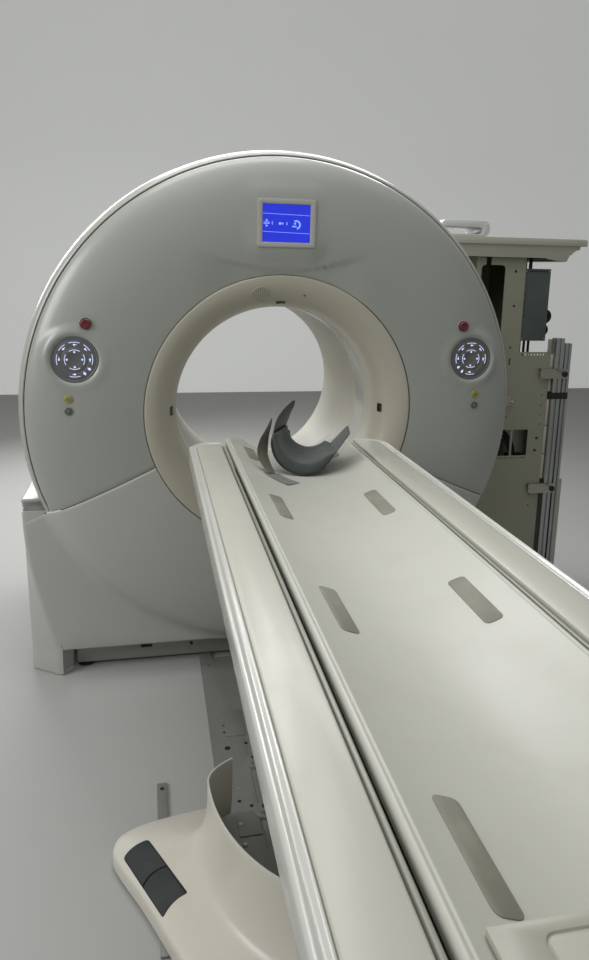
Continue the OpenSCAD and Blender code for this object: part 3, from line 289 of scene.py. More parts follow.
# %% Finish of bare metal
def bare_metal(name, colour, shine=0.32, along=(40.0, 40.0, 1.2)):
    f = Finish(name)
    drawn = f.noise(30.0, 4.0, 0.6, along)
    stain = f.step(f.noise(7.0, 5.0), 0.45, 0.75)
    base = f.mix(drawn, tone(colour, 0.84), tone(colour, 1.12))
    f.set(Base_Color=f.mix(stain * 0.4, base, tone(colour, 0.72)), Metallic=0.95,
          Roughness=drawn * 0.14 + stain * 0.12 + (shine - 0.06),
          Normal=f.bump(drawn, 0.05, 0.001))
    return f.material


profile_finish = bare_metal("profile_alu", (0.46, 0.48, 0.48))
bracket_finish = bare_metal("bracket_zinc", (0.50, 0.49, 0.43), 0.36)
rotor_finish = bare_metal("rotor_metal", (0.55, 0.56, 0.57), 0.38)
column_finish = bare_metal("column_metal", (0.58, 0.59, 0.59), 0.30)
copper_finish = bare_metal("copper", (0.60, 0.34, 0.18), 0.36)
bolt_finish = bare_metal("bolt_zinc", (0.62, 0.62, 0.58), 0.30)


# %% Finish of rubber, nylon, cloth and foam
def rubber(name, colour, shine=0.6, grain=380.0, depth=0.10):
    f = Finish(name)
    bloom = f.step(f.noise(11.0, 6.0, 0.6), 0.42, 0.74)
    f.set(Base_Color=f.mix(bloom * 0.5, tone(colour, 0.92), tone(colour, 1.45)),
          Roughness=bloom * 0.14 + (shine - 0.05), Specular_IOR_Level=0.35,
          Normal=f.bump(f.noise(grain, 3.0), depth, 0.001))
    return f.material


pedal_finish = rubber("pedal_rubber", (0.040, 0.048, 0.046))
# Black rubber of the feet and knobs; the same near black is painted shade in the floor's holes.
black_rubber_and_hole_shade_finish = rubber("foot_rubber", (0.022, 0.022, 0.022), 0.7)
cable_finish = rubber("cable_black", (0.016, 0.016, 0.017), 0.42, 90.0, 0.03)
nylon_finish = rubber("roller_nylon", (0.62, 0.61, 0.57), 0.45)
pad_finish = rubber("pad_grey", (0.255, 0.250, 0.205), 0.62, 900.0, 0.25)
keypad_finish = rubber("keypad_grey", (0.135, 0.142, 0.142), 0.42, 500.0, 0.05)


def foam(name, colour):
    f = Finish(name)
    cells = f.node("ShaderNodeTexVoronoi", {"feature": "F1"}, {"Vector": f.place, "Scale": 700.0})
    worn = f.step(f.noise(14.0, 5.0, 0.6), 0.46, 0.70)
    f.set(Base_Color=f.mix(worn * 0.5, tone(colour, 0.92), tone(colour, 1.3)),
          Roughness=0.80 - worn * 0.12, Sheen_Weight=0.15, Specular_IOR_Level=0.3,
          Normal=f.bump(cells + f.noise(55.0, 4.0) * 0.8, 0.16, 0.001))
    return f.material


foam_finish = foam("holder_foam", (0.082, 0.094, 0.090))
shell_finish = painted("holder_shell", (0.036, 0.043, 0.041), 0.52, wear=0.2)


def webbing(name, colour, pitch=900.0):
    f = Finish(name)
    ribs = f.node("ShaderNodeTexWave", {"bands_direction": "Y"}, {"Vector": f.place, "Scale": pitch,
                                                                 "Distortion": 1.2, "Detail": 1.0})
    worn = f.noise(40.0, 4.0)
    weave = f.mix(ribs, tone(colour, 0.70), tone(colour, 1.25))
    f.set(Base_Color=f.mix(worn * 0.5, weave, tone(colour, 1.1)), Roughness=0.85, Sheen_Weight=0.2,
          Normal=f.bump(ribs + worn * 0.4, 0.3, 0.0006))
    return f.material


strap_finish = webbing("strap_brown", (0.125, 0.110, 0.085))
band_strap_finish = webbing("strap_grey", (0.165, 0.172, 0.158))
black_strap_finish = webbing("strap_black", (0.014, 0.014, 0.014))


# %% Finish of lights and glass
def glowing(name, colour, power, shine=0.25):
    f = Finish(name)
    flow = f.noise(22.0, 3.0)
    f.set(Base_Color=f.mix(flow, tone(colour, 0.45), tone(colour, 0.62)),
          Emission_Color=f.mix(flow, tone(colour, 0.94), tone(colour, 1.04)), Emission_Strength=power,
          Roughness=flow * 0.05 + shine, Coat_Weight=0.5)
    return f.material


screen_finish = glowing("display_blue", (0.0, 0.014, 0.62), 0.80, 0.12)
line_finish = glowing("display_light", (0.20, 0.38, 0.95), 0.9)
mark_finish = glowing("key_light", (0.60, 0.66, 0.92), 0.85)
# Dark glass of the laser windows; the same near black is painted shade in the speaker's holes.
dark_glass_and_hole_shade_finish = glowing("laser_dark", (0.012, 0.008, 0.006), 0.1, 0.1)
stop_finish = moulded("stop_red", (0.140, 0.008, 0.015), 0.34, coat=0.6, dust=0.1)
amber_finish = moulded("lamp_amber", (0.330, 0.300, 0.050), 0.30, coat=0.6, dust=0.1)
grey_lamp_finish = moulded("lamp_grey", (0.100, 0.108, 0.100), 0.30, coat=0.6, dust=0.1)
window_finish = moulded("window_clear", (0.440, 0.440, 0.380), 0.16, peel=0.01, coat=0.8, dust=0.2)
print("finishes:", len(bpy.data.materials))

# %% [markdown]
# ## Floor and backdrop
#
# The floor keeps the scanner's shadow, and a pale wall behind it closes the picture. The wall
# shines a little for the camera and in mirrors only, so it looks pale and lights nothing. Both
# are marked as stage, which keeps them out of the object.

# %% Stage
def stage_sheet(name, corners, colour, seen=0.0):
    mesh = bpy.data.meshes.new(name)
    mesh.from_pydata(corners, [], [(0, 1, 2, 3)])
    obj = bpy.data.objects.new(name, mesh)
    scene.collection.objects.link(obj)
    f = Finish(name)
    f.set(Base_Color=f.mix(f.noise(1.2, 3.0), tone(colour, 0.97), tone(colour, 1.02)), Roughness=0.75)
    if seen:
        kinds = ("Is Camera Ray", "Is Glossy Ray", "Is Transmission Ray")
        rays = sum(f.node("ShaderNodeLightPath", output=kind) for kind in kinds)
        f.set(Emission_Color=f.mix(rays, (0, 0, 0, 1), tone(colour, 1.0)), Emission_Strength=seen)
    mesh.materials.append(f.material)
    return obj


room_half = 9
floor_z = -0.001
wall_y = 6.5
wall_top = 7
floor_front = [(-room_half, -room_half, floor_z), (room_half, -room_half, floor_z)]
floor_back = [(room_half, room_half, floor_z), (-room_half, room_half, floor_z)]
stage_sheet("floor", floor_front + floor_back, (0.42, 0.42, 0.41))
wall_foot = [(-room_half, wall_y, floor_z), (room_half, wall_y, floor_z)]
wall_head = [(room_half, wall_y, wall_top), (-room_half, wall_y, wall_top)]
stage_sheet("backdrop", wall_foot + wall_head, (0.70, 0.71, 0.70), 0.34)
print("stage ready")

# %% [markdown]
# ## Making and placing pieces
#
# Every piece ends the same way: its modifiers are turned into plain mesh, it is shaded smooth up
# to its real edges, it rides on a body, and the CAD nodes it stands for are hidden. One helper does
# that. A second helper dresses a node whose shape is already right: it works on a merged copy, so
# that a small bevel can catch the light along each edge.

# %% Helpers for pieces
def piece(name, points, faces, turn_out=True):
    mesh = bpy.data.meshes.new(name)
    mesh.from_pydata([tuple(p) for p in points], [], faces)
    obj = bpy.data.objects.new(name, mesh)
    scene.collection.objects.link(obj)
    work = bmesh.new()
    work.from_mesh(mesh)
    bmesh.ops.remove_doubles(work, verts=work.verts, dist=1e-6)
    bmesh.ops.dissolve_degenerate(work, dist=1e-6, edges=work.edges)
    if turn_out:
        bmesh.ops.recalc_face_normals(work, faces=work.faces)
    work.to_mesh(mesh)
    work.free()
    return obj


def plain(obj):
    """Turns the modifiers into plain mesh."""
    if obj.modifiers:
        made = bpy.data.meshes.new_from_object(obj.evaluated_get(bpy.context.evaluated_depsgraph_get()))
        obj.modifiers.clear()
        obj.data = made
    return obj


def fit(obj, body, finish, stands_for=(), edge=35):
    plain(obj)
    obj.data.materials.clear()
    obj.data.materials.append(finish)
    obj.data.polygons.foreach_set("use_smooth", [True] * len(obj.data.polygons))
    obj.data.set_sharp_from_angle(angle=math.radians(edge))
    obj.data.update()
    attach(obj, body)
    if stands_for:
        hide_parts(*stands_for)
    return obj


def thicken(obj, wall, offset=-1):
    solidify = obj.modifiers.new("wall", "SOLIDIFY")
    solidify.thickness = wall
    solidify.offset = offset
    return obj


def round_edges(obj, width, steps=2, angle=30):
    bevel = obj.modifiers.new("edges", "BEVEL")
    bevel.width = width
    bevel.segments = steps
    bevel.limit_method = "ANGLE"
    bevel.angle_limit = math.radians(angle)
    bevel.use_clamp_overlap = True
    return obj


def dress(node, body, finish, width=0.0012, steps=2, edge=35):
    mesh = nodes[node].data.copy()
    mesh.materials.clear()
    obj = bpy.data.objects.new(node + "_dressed", mesh)
    scene.collection.objects.link(obj)
    work = bmesh.new()
    work.from_mesh(mesh)
    bmesh.ops.remove_doubles(work, verts=work.verts, dist=2e-5)
    bmesh.ops.dissolve_limit(work, angle_limit=math.radians(0.6), verts=work.verts, edges=work.edges)
    work.to_mesh(mesh)
    work.free()
    if width:
        round_edges(obj, width, steps)
    return fit(obj, body, finish, (node,), edge)


def rows_to_faces(rows, count, closed=False, ends=False):
    """Quads between equal rows of points; ends closes the first and last row."""
    faces = []
    for r in range(rows - 1):
        low, high = r * count, (r + 1) * count
        for i in range(count if closed else count - 1):
            j = (i + 1) % count
            faces.append((low + i, low + j, high + j, high + i))
    if ends:
        faces.append(tuple(reversed(range(count))))
        faces.append(tuple(range((rows - 1) * count, rows * count)))
    return faces


def between(value, low, high):
    """0 below low, 1 above high, and a soft step between them."""
    t = max(0.0, min(1.0, (value - low) / (high - low)))
    return t * t * (3 - 2 * t)


def fading(value, low, high):
    """1 below low, 0 above high, and a soft step between them."""
    return 1 - between(value, low, high)


def count_triangles(obj):
    return sum(len(p.vertices) - 2 for p in obj.data.polygons)


print("helpers ready")

# %% [markdown]
# ## The domed face
#
# The face is one big moulding, a shallow dome round the bore. It is drawn as a profile of depth
# against radius. Small places break the round shape: it is flat under the display, it has a soft
# collar round each keypad, and a faint brow runs below the display. A plain turned surface can't
# hold those, so the dome is a sheet of points in angle and length along the profile. A constrained
# triangulation joins them and keeps the outline of each hole. The faces inside the holes are left
# out, and the sheet is given its wall.

# %% Sizes of the face
iso_z = 1.045
bore_r = 0.390
funnel_r = 0.510
crown_r = 0.745
face_r = 0.930
rim_r = 0.960
crown_y = 0.018
funnel_y = 0.043
edge_y = 0.075
mouth_y = 0.180
rim_y = 0.150
rim_back = 0.300
seam_angle = 23.3
seam_gap = 0.097
sheet_start_r = 0.513
keypad_place = (0.746, 0.205)
stop_place = (0.704, 0.331)
lamp_place = ((0.772, 0.065), (0.772, 0.021))
screen_up = 0.694
window_w, window_h = 0.093, 0.072
display_flat_y = 0.0172
brow_deep = 0.0085
keypad_flat_y = 0.0170
keypad_sunk = 0.0060
fitting_sunk = 0.0012


# %% Depth of the face
def dome_depth(r):
    if r < crown_r:
        return crown_y + (funnel_y - crown_y) * ((crown_r - r) / (crown_r - funnel_r)) ** 2
    t = min(1.0, (r - crown_r) / (face_r - crown_r))
    return edge_y - (edge_y - crown_y) * math.sqrt(1 - t * t)


def face_depth(x, z):
    """Depth of the finished face at a place, with z measured from the bore axis."""
    y = dome_depth(math.hypot(x, z))
    away = math.hypot(max(abs(x) - 0.085, 0), max(abs(z - screen_up) - 0.064, 0))
    y += (display_flat_y - y) * fading(away, 0.020, 0.085)
    brow = 0.527 + 0.62 * x * x
    below_brow = fading(z, brow - 0.005, brow + 0.008)
    near_middle = fading(abs(x), 0.16, 0.34)
    y += brow_deep * below_brow * near_middle * between(z, 0.3, 0.45)
    away = math.hypot(abs(x) - keypad_place[0], z - keypad_place[1])
    y += (keypad_flat_y - y) * fading(away, 0.097, 0.130)
    y += keypad_sunk * fading(away, 0.080, 0.093)
    for place in (stop_place,) + lamp_place:
        away = math.hypot(abs(x) - place[0], z - place[1])
        y += fitting_sunk * fading(away, 0.020, 0.026)
    return y


def profile_length():
    """Pairs of length along the dome's profile and radius."""
    table = [(0.0, sheet_start_r)]
    r = sheet_start_r
    while r < face_r - 1e-5:
        after = min(face_r, r + (0.001 if r < 0.92 else 0.0001))
        step = math.hypot(after - r, dome_depth(after) - dome_depth(r))
        table.append((table[-1][0] + step, after))
        r = after
    return table


length_table = profile_length()
total_length = length_table[-1][0]


def look_up(value, column):
    """The radius at a length, with column 0, or the length at a radius, with column 1."""
    other = 1 - column
    low, high = 0, len(length_table) - 1
    while high - low > 1:
        middle = (low + high) // 2
        if length_table[middle][column] <= value:
            low = middle
        else:
            high = middle
    a, b = length_table[low], length_table[high]
    share = (value - a[column]) / (b[column] - a[column])
    return a[other] + share * (b[other] - a[other])


print("the dome is", round(total_length, 4), "m from the funnel to its edge")


# %% Holes in the face
class Hole:
    """A round hole, and the rings of points round it that follow its collar."""

    def __init__(self, place, radius, rings, sides):
        self.x, self.z = place
        self.radius = radius
        self.rings = rings
        self.sides = sides

    def away(self, x, z):
        return math.hypot(x - self.x, z - self.z)


def mirrored(place, side):
    return (side * place[0], place[1])


keypad_rings = (0.084, 0.087, 0.090, 0.094, 0.099, 0.106, 0.114, 0.124, 0.134)
holes = []
for side in (-1, 1):
    holes.append(Hole(mirrored(keypad_place, side), 0.0822, keypad_rings, 72))
    holes.append(Hole(mirrored(stop_place, side), 0.0192, (0.021, 0.023, 0.027), 32))
    for place in lamp_place:
        holes.append(Hole(mirrored(place, side), 0.0139, (0.0155, 0.0180, 0.0208), 24))


def near_fitting(x, z):
    """Whether a hole or the display's window has points of its own here."""
    if any(hole.away(x, z) < hole.rings[-1] + 0.004 for hole in holes):
        return True
    by_side = abs(abs(x) - window_w) < 0.003 and abs(z - screen_up) < 0.075
    by_top = abs(x) < 0.096 and abs(abs(z - screen_up) - window_h) < 0.003
    return by_side or by_top


print("holes in the face:", len(holes))

# %% Points of the sheet
mean_r = 0.75
start = math.radians(-180 - seam_angle + seam_gap)
end = math.radians(seam_angle - seam_gap)
columns = 264
lengths = [total_length * i / 34 for i in range(31)]
lengths += [total_length * (1 - q) for q in (0.085, 0.062, 0.042, 0.026, 0.013, 0.005, 0.0)]
sheet_points = []
for row, length in enumerate(lengths):
    r = look_up(min(length, total_length - 1e-7), 0)
    for column in range(columns + 1):
        angle = start + (end - start) * column / columns
        border = row in (0, len(lengths) - 1) or column in (0, columns)
        if border or not near_fitting(r * math.cos(angle), -r * math.sin(angle)):
            sheet_points.append(Vector((angle * mean_r, length)))

edges = []
for hole in holes:
    smaller = [other for other in holes if other.radius < hole.radius]
    for ring, size in enumerate((hole.radius,) + hole.rings):
        first = len(sheet_points)
        for k in range(hole.sides):
            turn = 2 * math.pi * (k + 0.5 * (ring % 2)) / hole.sides
            x, z = hole.x + size * math.cos(turn), hole.z + size * math.sin(turn)
            r = math.hypot(x, z)
            crowded = ring and any(other.away(x, z) <= other.rings[-1] * 0.98 for other in smaller)
            if crowded or r > face_r - 0.004:
                continue
            angle = math.atan2(-z, x)
            if angle > end + 0.001:
                angle -= 2 * math.pi
            sheet_points.append(Vector((angle * mean_r, look_up(r, 1))))
        if ring == 0:
            kept = len(sheet_points) - first
            edges += [(first + k, first + (k + 1) % kept) for k in range(kept)]

window_rim = [(window_w * (1 - 2 * k / 12), window_h) for k in range(12)]
window_rim += [(-window_w, window_h * (1 - 2 * k / 10)) for k in range(10)]
window_rim += [(-x, -z) for x, z in window_rim]
first = len(sheet_points)
for x, z in window_rim:
    r, angle = math.hypot(x, screen_up + z), math.atan2(-screen_up - z, x)
    sheet_points.append(Vector((angle * mean_r, look_up(r, 1))))
edges += [(first + k, first + (k + 1) % len(window_rim)) for k in range(len(window_rim))]
print("points of the face:", len(sheet_points))


# %% The domed face
def on_face(point):
    """From the flat sheet to the face; its border is rolled back a little."""
    angle = point.x / mean_r
    r = look_up(max(0.0, min(point.y, total_length - 1e-7)), 0)
    x, z = r * math.cos(angle), -r * math.sin(angle)
    rolled = 0.0022 * fading(min(angle - start, end - angle) * r, 0.0, 0.003)
    return Vector((x, face_depth(x, z) + rolled, iso_z + z))


def in_hole(p):
    if abs(p.x) < window_w and abs(p.z - iso_z - screen_up) < window_h:
        return True
    return any(hole.away(p.x, p.z - iso_z) < hole.radius * 0.995 for hole in holes)


joined = delaunay_2d_cdt(sheet_points, edges, [], 0, 1e-7)
face_points = [on_face(p) for p in joined[0]]
face_faces = []
for face in joined[2]:
    if not in_hole(sum((face_points[i] for i in face), Vector()) / 3):
        face_faces.append(face)
dome = piece("domed_face", face_points, face_faces, turn_out=False)
thicken(dome, 0.005)
fit(dome, "gantry", face_finish, ("upper_front_cover",), 40)
print("domed face:", count_triangles(dome), "triangles")

# %% [markdown]
# ## Rings round the bore
#
# The funnel, the scan window, the rear tunnel and the rim band are turned about the bore axis.
# One helper sweeps a closed outline of radius and depth round that axis. The funnel is a ring of
# its own in a warmer cream, and it runs all the way round, under both halves of the face.

# %% Turned rings
def turned(name, outline, first=0.0, last=360.0, step=1.5):
    whole = last - first > 359.9
    count = max(2, round((last - first) / step))
    rows = count if whole else count + 1
    points = []
    for k in range(rows):
        a = math.radians(first + (last - first) * k / count)
        points += [(r * math.cos(a), y, iso_z - r * math.sin(a)) for r, y in outline]
    n = len(outline)
    faces = rows_to_faces(rows, n, closed=True, ends=not whole)
    if whole:
        faces += [((rows - 1) * n + i, (rows - 1) * n + (i + 1) % n, (i + 1) % n, i) for i in range(n)]
    return piece(name, points, faces)


def arc(centre, radii, first, last, count):
    """Points on a part of an ellipse, from one angle in degrees to another."""
    made = []
    for i in range(count + 1):
        a = math.radians(first + (last - first) * i / count)
        made.append((centre[0] + radii[0] * math.cos(a), centre[1] + radii[1] * math.sin(a)))
    return made


def walled(path, wall):
    """A closed outline with a wall on the left of a path."""
    inner = []
    for i, p in enumerate(path):
        a, b = path[max(i - 1, 0)], path[min(i + 1, len(path) - 1)]
        dx, dy = b[0] - a[0], b[1] - a[1]
        size = math.hypot(dx, dy)
        inner.append((p[0] - wall * dy / size, p[1] + wall * dx / size))
    return path + inner[::-1]


def tube(depths, wall):
    """Outline of a straight tube round the bore, from the front to the back."""
    inner = [(bore_r, y) for y in depths]
    return inner + [(bore_r + wall, depths[-1]), (bore_r + wall, depths[0])]


# %% Funnel, rim band, scan window and tunnel
moulding_wall = 0.005
lip = [(bore_r, 0.258), (bore_r, 0.235), (bore_r, 0.205)]
lip += arc((funnel_r, mouth_y), (funnel_r - bore_r, mouth_y - funnel_y), 180, 268, 26)
lip += [(0.5085, 0.0435), (0.5105, 0.0450), (0.5112, 0.0470)]
funnel = turned("funnel", walled(lip, moulding_wall), step=1.25)
fit(funnel, "gantry", cream_finish, ("upper_front_cover", "lower_front_cover"))

curve = arc((face_r + 0.003, rim_y), (rim_r - face_r - 0.003, rim_y - edge_y), 270, 360, 12)
band = [(face_r + 0.0030, edge_y + 0.006), (face_r + 0.0032, edge_y + 0.0015)] + curve[1:]
band += [(rim_r, 0.2), (rim_r, 0.25), (rim_r, rim_back)]
band_turn = (-180 - seam_angle + seam_gap, seam_angle - seam_gap)
rim = turned("rim_band_shell", walled(band, moulding_wall), *band_turn)
fit(rim, "gantry", band_finish, ("rim_band",))

window = turned("scan_window_ring", tube((0.2585, 0.3815), 0.004))
fit(window, "gantry", window_finish, ("scan_window",))
tunnel = turned("rear_tunnel_tube", tube((0.3825, 0.6, 0.9513), 0.006))
fit(tunnel, "gantry", cream_finish, ("rear_tunnel",))
dress("rear_cover", "gantry", band_finish, 0)
print("rings:", [o.name for o in (funnel, rim, window, tunnel)])

# %% [markdown]
# ## The lower cover and its apron
#
# Below the seam the disc and the flat apron over the base are one moulding. The disc keeps the
# dome's profile and runs out into the apron in a hollow fillet. The sheet is laid out in angle and
# radius again, because only its outer border differs: the floor side is straight, the left side
# follows a curved ridge, and at the right it wraps round the disc's rim.

# %% Border of the apron
base_z = 0.106
apron_z = base_z - iso_z
shoulder_z = 0.676
apron_y = 0.090
fillet_r = 0.922
fillet_wide = 0.052
ridge_inset = 0.020
right_corner = [(0.830, 0.380), (0.826, 0.420), (0.790, 0.440)]
right_x = right_corner[0][0]


def ridge_x(z):
    """Sideways place of the ridge at a height above the floor."""
    return -0.853 - 0.112 * math.sin(math.pi / 2 * (z - base_z) / 0.570)


def side_x(z):
    return -0.969 + 0.012 * (1 - z / shoulder_z)


def reach_to_line(dx, dz, one, other):
    """Distance from the bore axis to a line between two corners, if the ray meets it."""
    (x0, z0), (x1, z1) = one, other
    cross = dx * (z1 - z0) - dz * (x1 - x0)
    if abs(cross) < 1e-9:
        return math.inf
    t = (x0 * (z1 - z0) - z0 * (x1 - x0)) / cross
    s = (dx * t - x0) / (x1 - x0)
    return t if 0 <= s <= 1 else math.inf


def border(angle):
    """Distance from the bore axis to the apron's border, for an angle below the horizontal."""
    dx, dz = math.cos(angle), -math.sin(angle)
    reach = apron_z / dz
    if dx > 0:
        corner = [(x, z - iso_z) for x, z in right_corner]
        cuts = [reach_to_line(dx, dz, one, other) for one, other in zip(corner, corner[1:])]
        return min(reach, right_x / dx, *cuts)
    low, high = 0.5, 1.6
    for _ in range(40):
        middle = (low + high) / 2
        if middle * dx > ridge_x(max(iso_z + middle * dz, 0.0)) + ridge_inset:
            low = middle
        else:
            high = middle
    return min(reach, low)


def apron_depth(r):
    """Depth of the disc, then of the hollow fillet that runs out into the flat apron."""
    if r < fillet_r:
        return dome_depth(r)
    start_y = dome_depth(fillet_r)
    t = (fillet_r - crown_r) / (face_r - crown_r)
    slope = (edge_y - crown_y) / (face_r - crown_r) * t / math.sqrt(1 - t * t)
    s = min(1.0, (r - fillet_r) / fillet_wide)
    risen = (3 * s * s - 2 * s ** 3) * (apron_y - start_y)
    return start_y + risen + slope * fillet_wide * (s - 2 * s * s + s ** 3)


print("the apron reaches", round(border(math.pi / 2), 3), "m below the axis")

# %% Angles and rows of the lower cover
inner_rows = [sheet_start_r + (crown_r - sheet_start_r) * i / 10 for i in range(10)]
inner_rows += [crown_r + (fillet_r - crown_r) * i / 14 for i in range(15)]
fillet_shares = [0.1, 0.2, 0.3, 0.42, 0.55, 0.7, 0.85, 1.0]
rim_rows = []
for degrees in (77, 81, 85, 90):
    a = math.radians(degrees)
    rim_rows.append((crown_r + (face_r - crown_r) * math.sin(a), edge_y - (edge_y - crown_y) * math.cos(a)))
rim_rows += arc((face_r, rim_y), (rim_r - face_r, rim_y - edge_y), 282, 360, 5)
rim_rows += [(rim_r, y) for y in (0.18, 0.21, 0.24, 0.27, rim_back)]

cover_corners = right_corner[::-1] + [(right_x, base_z), (-0.833, base_z)]
corners = [math.degrees(math.atan2(iso_z - z, x)) for x, z in cover_corners]
first_angle = seam_angle + seam_gap
last_angle = 180 - seam_angle - seam_gap
angles = [first_angle + (180 - 2 * seam_angle - 2 * seam_gap) * i / 150 for i in range(151)]
angles = [a for a in angles if min(abs(a - c) for c in corners) > 0.5] + corners
angles = sorted(angles + [first_angle + q for q in (0.06, 0.15)] + [last_angle - q for q in (0.06, 0.15)])
print("the lower cover has", len(angles), "columns")

# %% Sheet of the lower cover
wrapped_until = 37.3
edge_back = [(-0.004, 0.0007), (-0.0012, 0.003), (0.0, 0.007), (0.0, 0.012)]
edge_beside_wing = [(-0.005, 0.0), (-0.003, 0.0), (-0.001, 0.0), (0.0, 0.0)]


def lower_profile(degrees):
    """Radius and depth from the funnel out to the border, at an angle below the horizontal."""
    reach = border(math.radians(degrees)) if degrees > wrapped_until else 0.995
    wide = reach - 0.007 - fillet_r
    share = min(0.8, fillet_wide / wide)
    shares = [share * s for s in fillet_shares] + [share + (1 - share) * s / 3 for s in (1, 2, 3)]
    profile = [(r, apron_depth(r)) for r in inner_rows]
    profile += [(fillet_r + wide * s, apron_depth(fillet_r + wide * s)) for s in shares]
    edge_depth = profile[-1][1]
    turned_back = edge_beside_wing if degrees > corners[-1] + 0.01 else edge_back
    profile += [(reach + out, edge_depth + back) for out, back in turned_back]
    towards_rim = fading(degrees, 36.3, 37.4)
    if towards_rim > 0:
        for i, (p, q) in enumerate(zip(profile[len(inner_rows):], rim_rows)):
            moved = (p[0] + (q[0] - p[0]) * towards_rim, p[1] + (q[1] - p[1]) * towards_rim)
            profile[len(inner_rows) + i] = moved
    return profile


lower_points = []
for degrees in angles:
    a = math.radians(degrees)
    from_seam = min(degrees - angles[0], angles[-1] - degrees) * 0.0131
    rolled = 0.0022 * fading(from_seam, 0.0, 0.003)
    for r, y in lower_profile(degrees):
        lower_points.append((r * math.cos(a), y + rolled, iso_z - r * math.sin(a)))
row_size = len(lower_points) // len(angles)
lower = piece("lower_cover_shell", lower_points, rows_to_faces(len(angles), row_size), turn_out=False)
first_level = next(p for p in lower.data.polygons if abs(p.normal.y) > 0.5)
if first_level.normal.y > 0:
    lower.data.flip_normals()
thicken(lower, 0.004)
fit(lower, "gantry", apron_finish, ("lower_front_cover",), 50)
print("lower cover:", count_triangles(lower), "triangles")

# %% [markdown]
# ## The left wing and its cap
#
# Beside the apron the base cover turns back in a slanted wing that runs down to the floor. Its
# inner border is the apron's ridge. A light cap closes it at shoulder height.

# %% Rows of the left wing
wing_wall = 0.004
ridge_top = 0.638
wing_back = 0.697


def wing_start(z):
    """Where the wing leaves the apron's plane: inside the ridge, then along the seam and the rim."""
    below = iso_z - z
    if z < ridge_top:
        return ridge_x(z) + ridge_inset
    return -min(below / math.tan(math.radians(seam_angle - 0.1)), math.sqrt(0.963 ** 2 - below ** 2))


def wing_row(z, start):
    """Places in X and Y at one height, from the back over the ridge to the start on the apron."""
    inner = ridge_x(max(z, base_z))
    outer = side_x(z)
    row = [(outer + 0.005, wing_back), (outer, 0.690), (outer, 0.5), (outer, 0.3), (outer, 0.176)]
    back = (outer + 0.006, 0.160)
    tip = (min(inner + 0.004, start[-1][0] - 0.001), apron_y)
    slope = math.hypot(tip[0] - back[0], tip[1] - back[1])
    side = ((back[0] - tip[0]) / slope, (back[1] - tip[1]) / slope)
    turn = min(0.016, slope * 0.4)
    row += [(outer + 0.0012, 0.1675), back]
    row += [(back[0] - side[0] * slope * q, back[1] - side[1] * slope * q) for q in (0.2, 0.4, 0.6)]
    for q in (1.0, 0.8, 0.6, 0.4, 0.2, 0.0):
        first_way = (tip[0] + side[0] * turn * q, tip[1] + side[1] * turn * q)
        other_way = (tip[0] + turn * (1 - q) * 0.9, tip[1])
        row.append((first_way[0] * q + other_way[0] * (1 - q), first_way[1] * q + other_way[1] * (1 - q)))
    return row + start[::-1]


def wing_piece(name, rows, stands_for):
    """Joins rows of points to a sheet that faces the left, and gives it its wall."""
    points = [point for row in rows for point in row]
    sheet = piece(name, points, rows_to_faces(len(rows), len(rows[0])), turn_out=False)
    if sum(p.normal.x * p.area for p in sheet.data.polygons) > 0:
        sheet.data.flip_normals()
    thicken(sheet, wing_wall)
    return fit(sheet, "gantry", apron_finish, stands_for, 60)


# %% Left wing, its foot and its cap
heights = [base_z + (ridge_top - base_z) * i / 28 for i in range(28)]
heights += [ridge_top + 0.038 * i / 6 for i in range(7)]
wing_rows = []
for z in heights:
    first_x = wing_start(z)
    set_back = 0.0012 if z > 0.610 else 0.0
    row = wing_row(z, [(first_x, apron_y), (first_x - 0.0005, apron_y)])
    wing_rows.append([(x, y + set_back, z) for x, y in row])
wing = wing_piece("left_wing", wing_rows, ("left_side_cover",))

foot_start = [(-0.800, 0.300), (-0.800, 0.160), (-0.804, 0.150), (-0.836, 0.118), (-0.8375, 0.1155)]
foot_rows = []
for z in (0.006, 0.012, 0.04, 0.07, 0.1058):
    foot_rows.append([(x, y, z) for x, y in wing_row(z, foot_start)])
wing_piece("wing_foot", foot_rows, ())
dress("left_shoulder_cap", "gantry", band_finish, 0.0015, 2)
print("wing:", count_triangles(wing), "triangles")

# %% [markdown]
# ## Display
#
# The display sits in the flat place at the top: a pale frame, and behind it a lit blue panel.
# The frame is a loop of rounded rectangles, one per step of its profile, so that its edges are
# soft in the way of a moulded part. The panel shows plain lines and generic marks.

# %% Rounded loops
def rounded_loop(width, height, radius, steps=6):
    loop = []
    for sx, sz, first in ((1, 1, 0), (-1, 1, 90), (-1, -1, 180), (1, -1, 270)):
        cx, cz = sx * (width / 2 - radius), sz * (height / 2 - radius)
        loop += [(cx + radius * math.cos(math.radians(first + 90 * i / steps)),
                  cz + radius * math.sin(math.radians(first + 90 * i / steps))) for i in range(steps + 1)]
    return loop


loop_points = len(rounded_loop(1, 1, 0))


def framed(name, centre, stages, ring=True):
    """A frame, or a closed plate, through rounded rectangles given as width, height, radius, depth."""
    points = []
    for width, height, radius, depth in stages:
        points += [(centre[0] + x, depth, centre[1] + z) for x, z in rounded_loop(width, height, radius)]
    n = loop_points
    faces = rows_to_faces(len(stages), n, closed=True, ends=not ring)
    if ring:
        last = (len(stages) - 1) * n
        faces += [(last + i, last + (i + 1) % n, (i + 1) % n, i) for i in range(n)]
    return piece(name, points, faces)


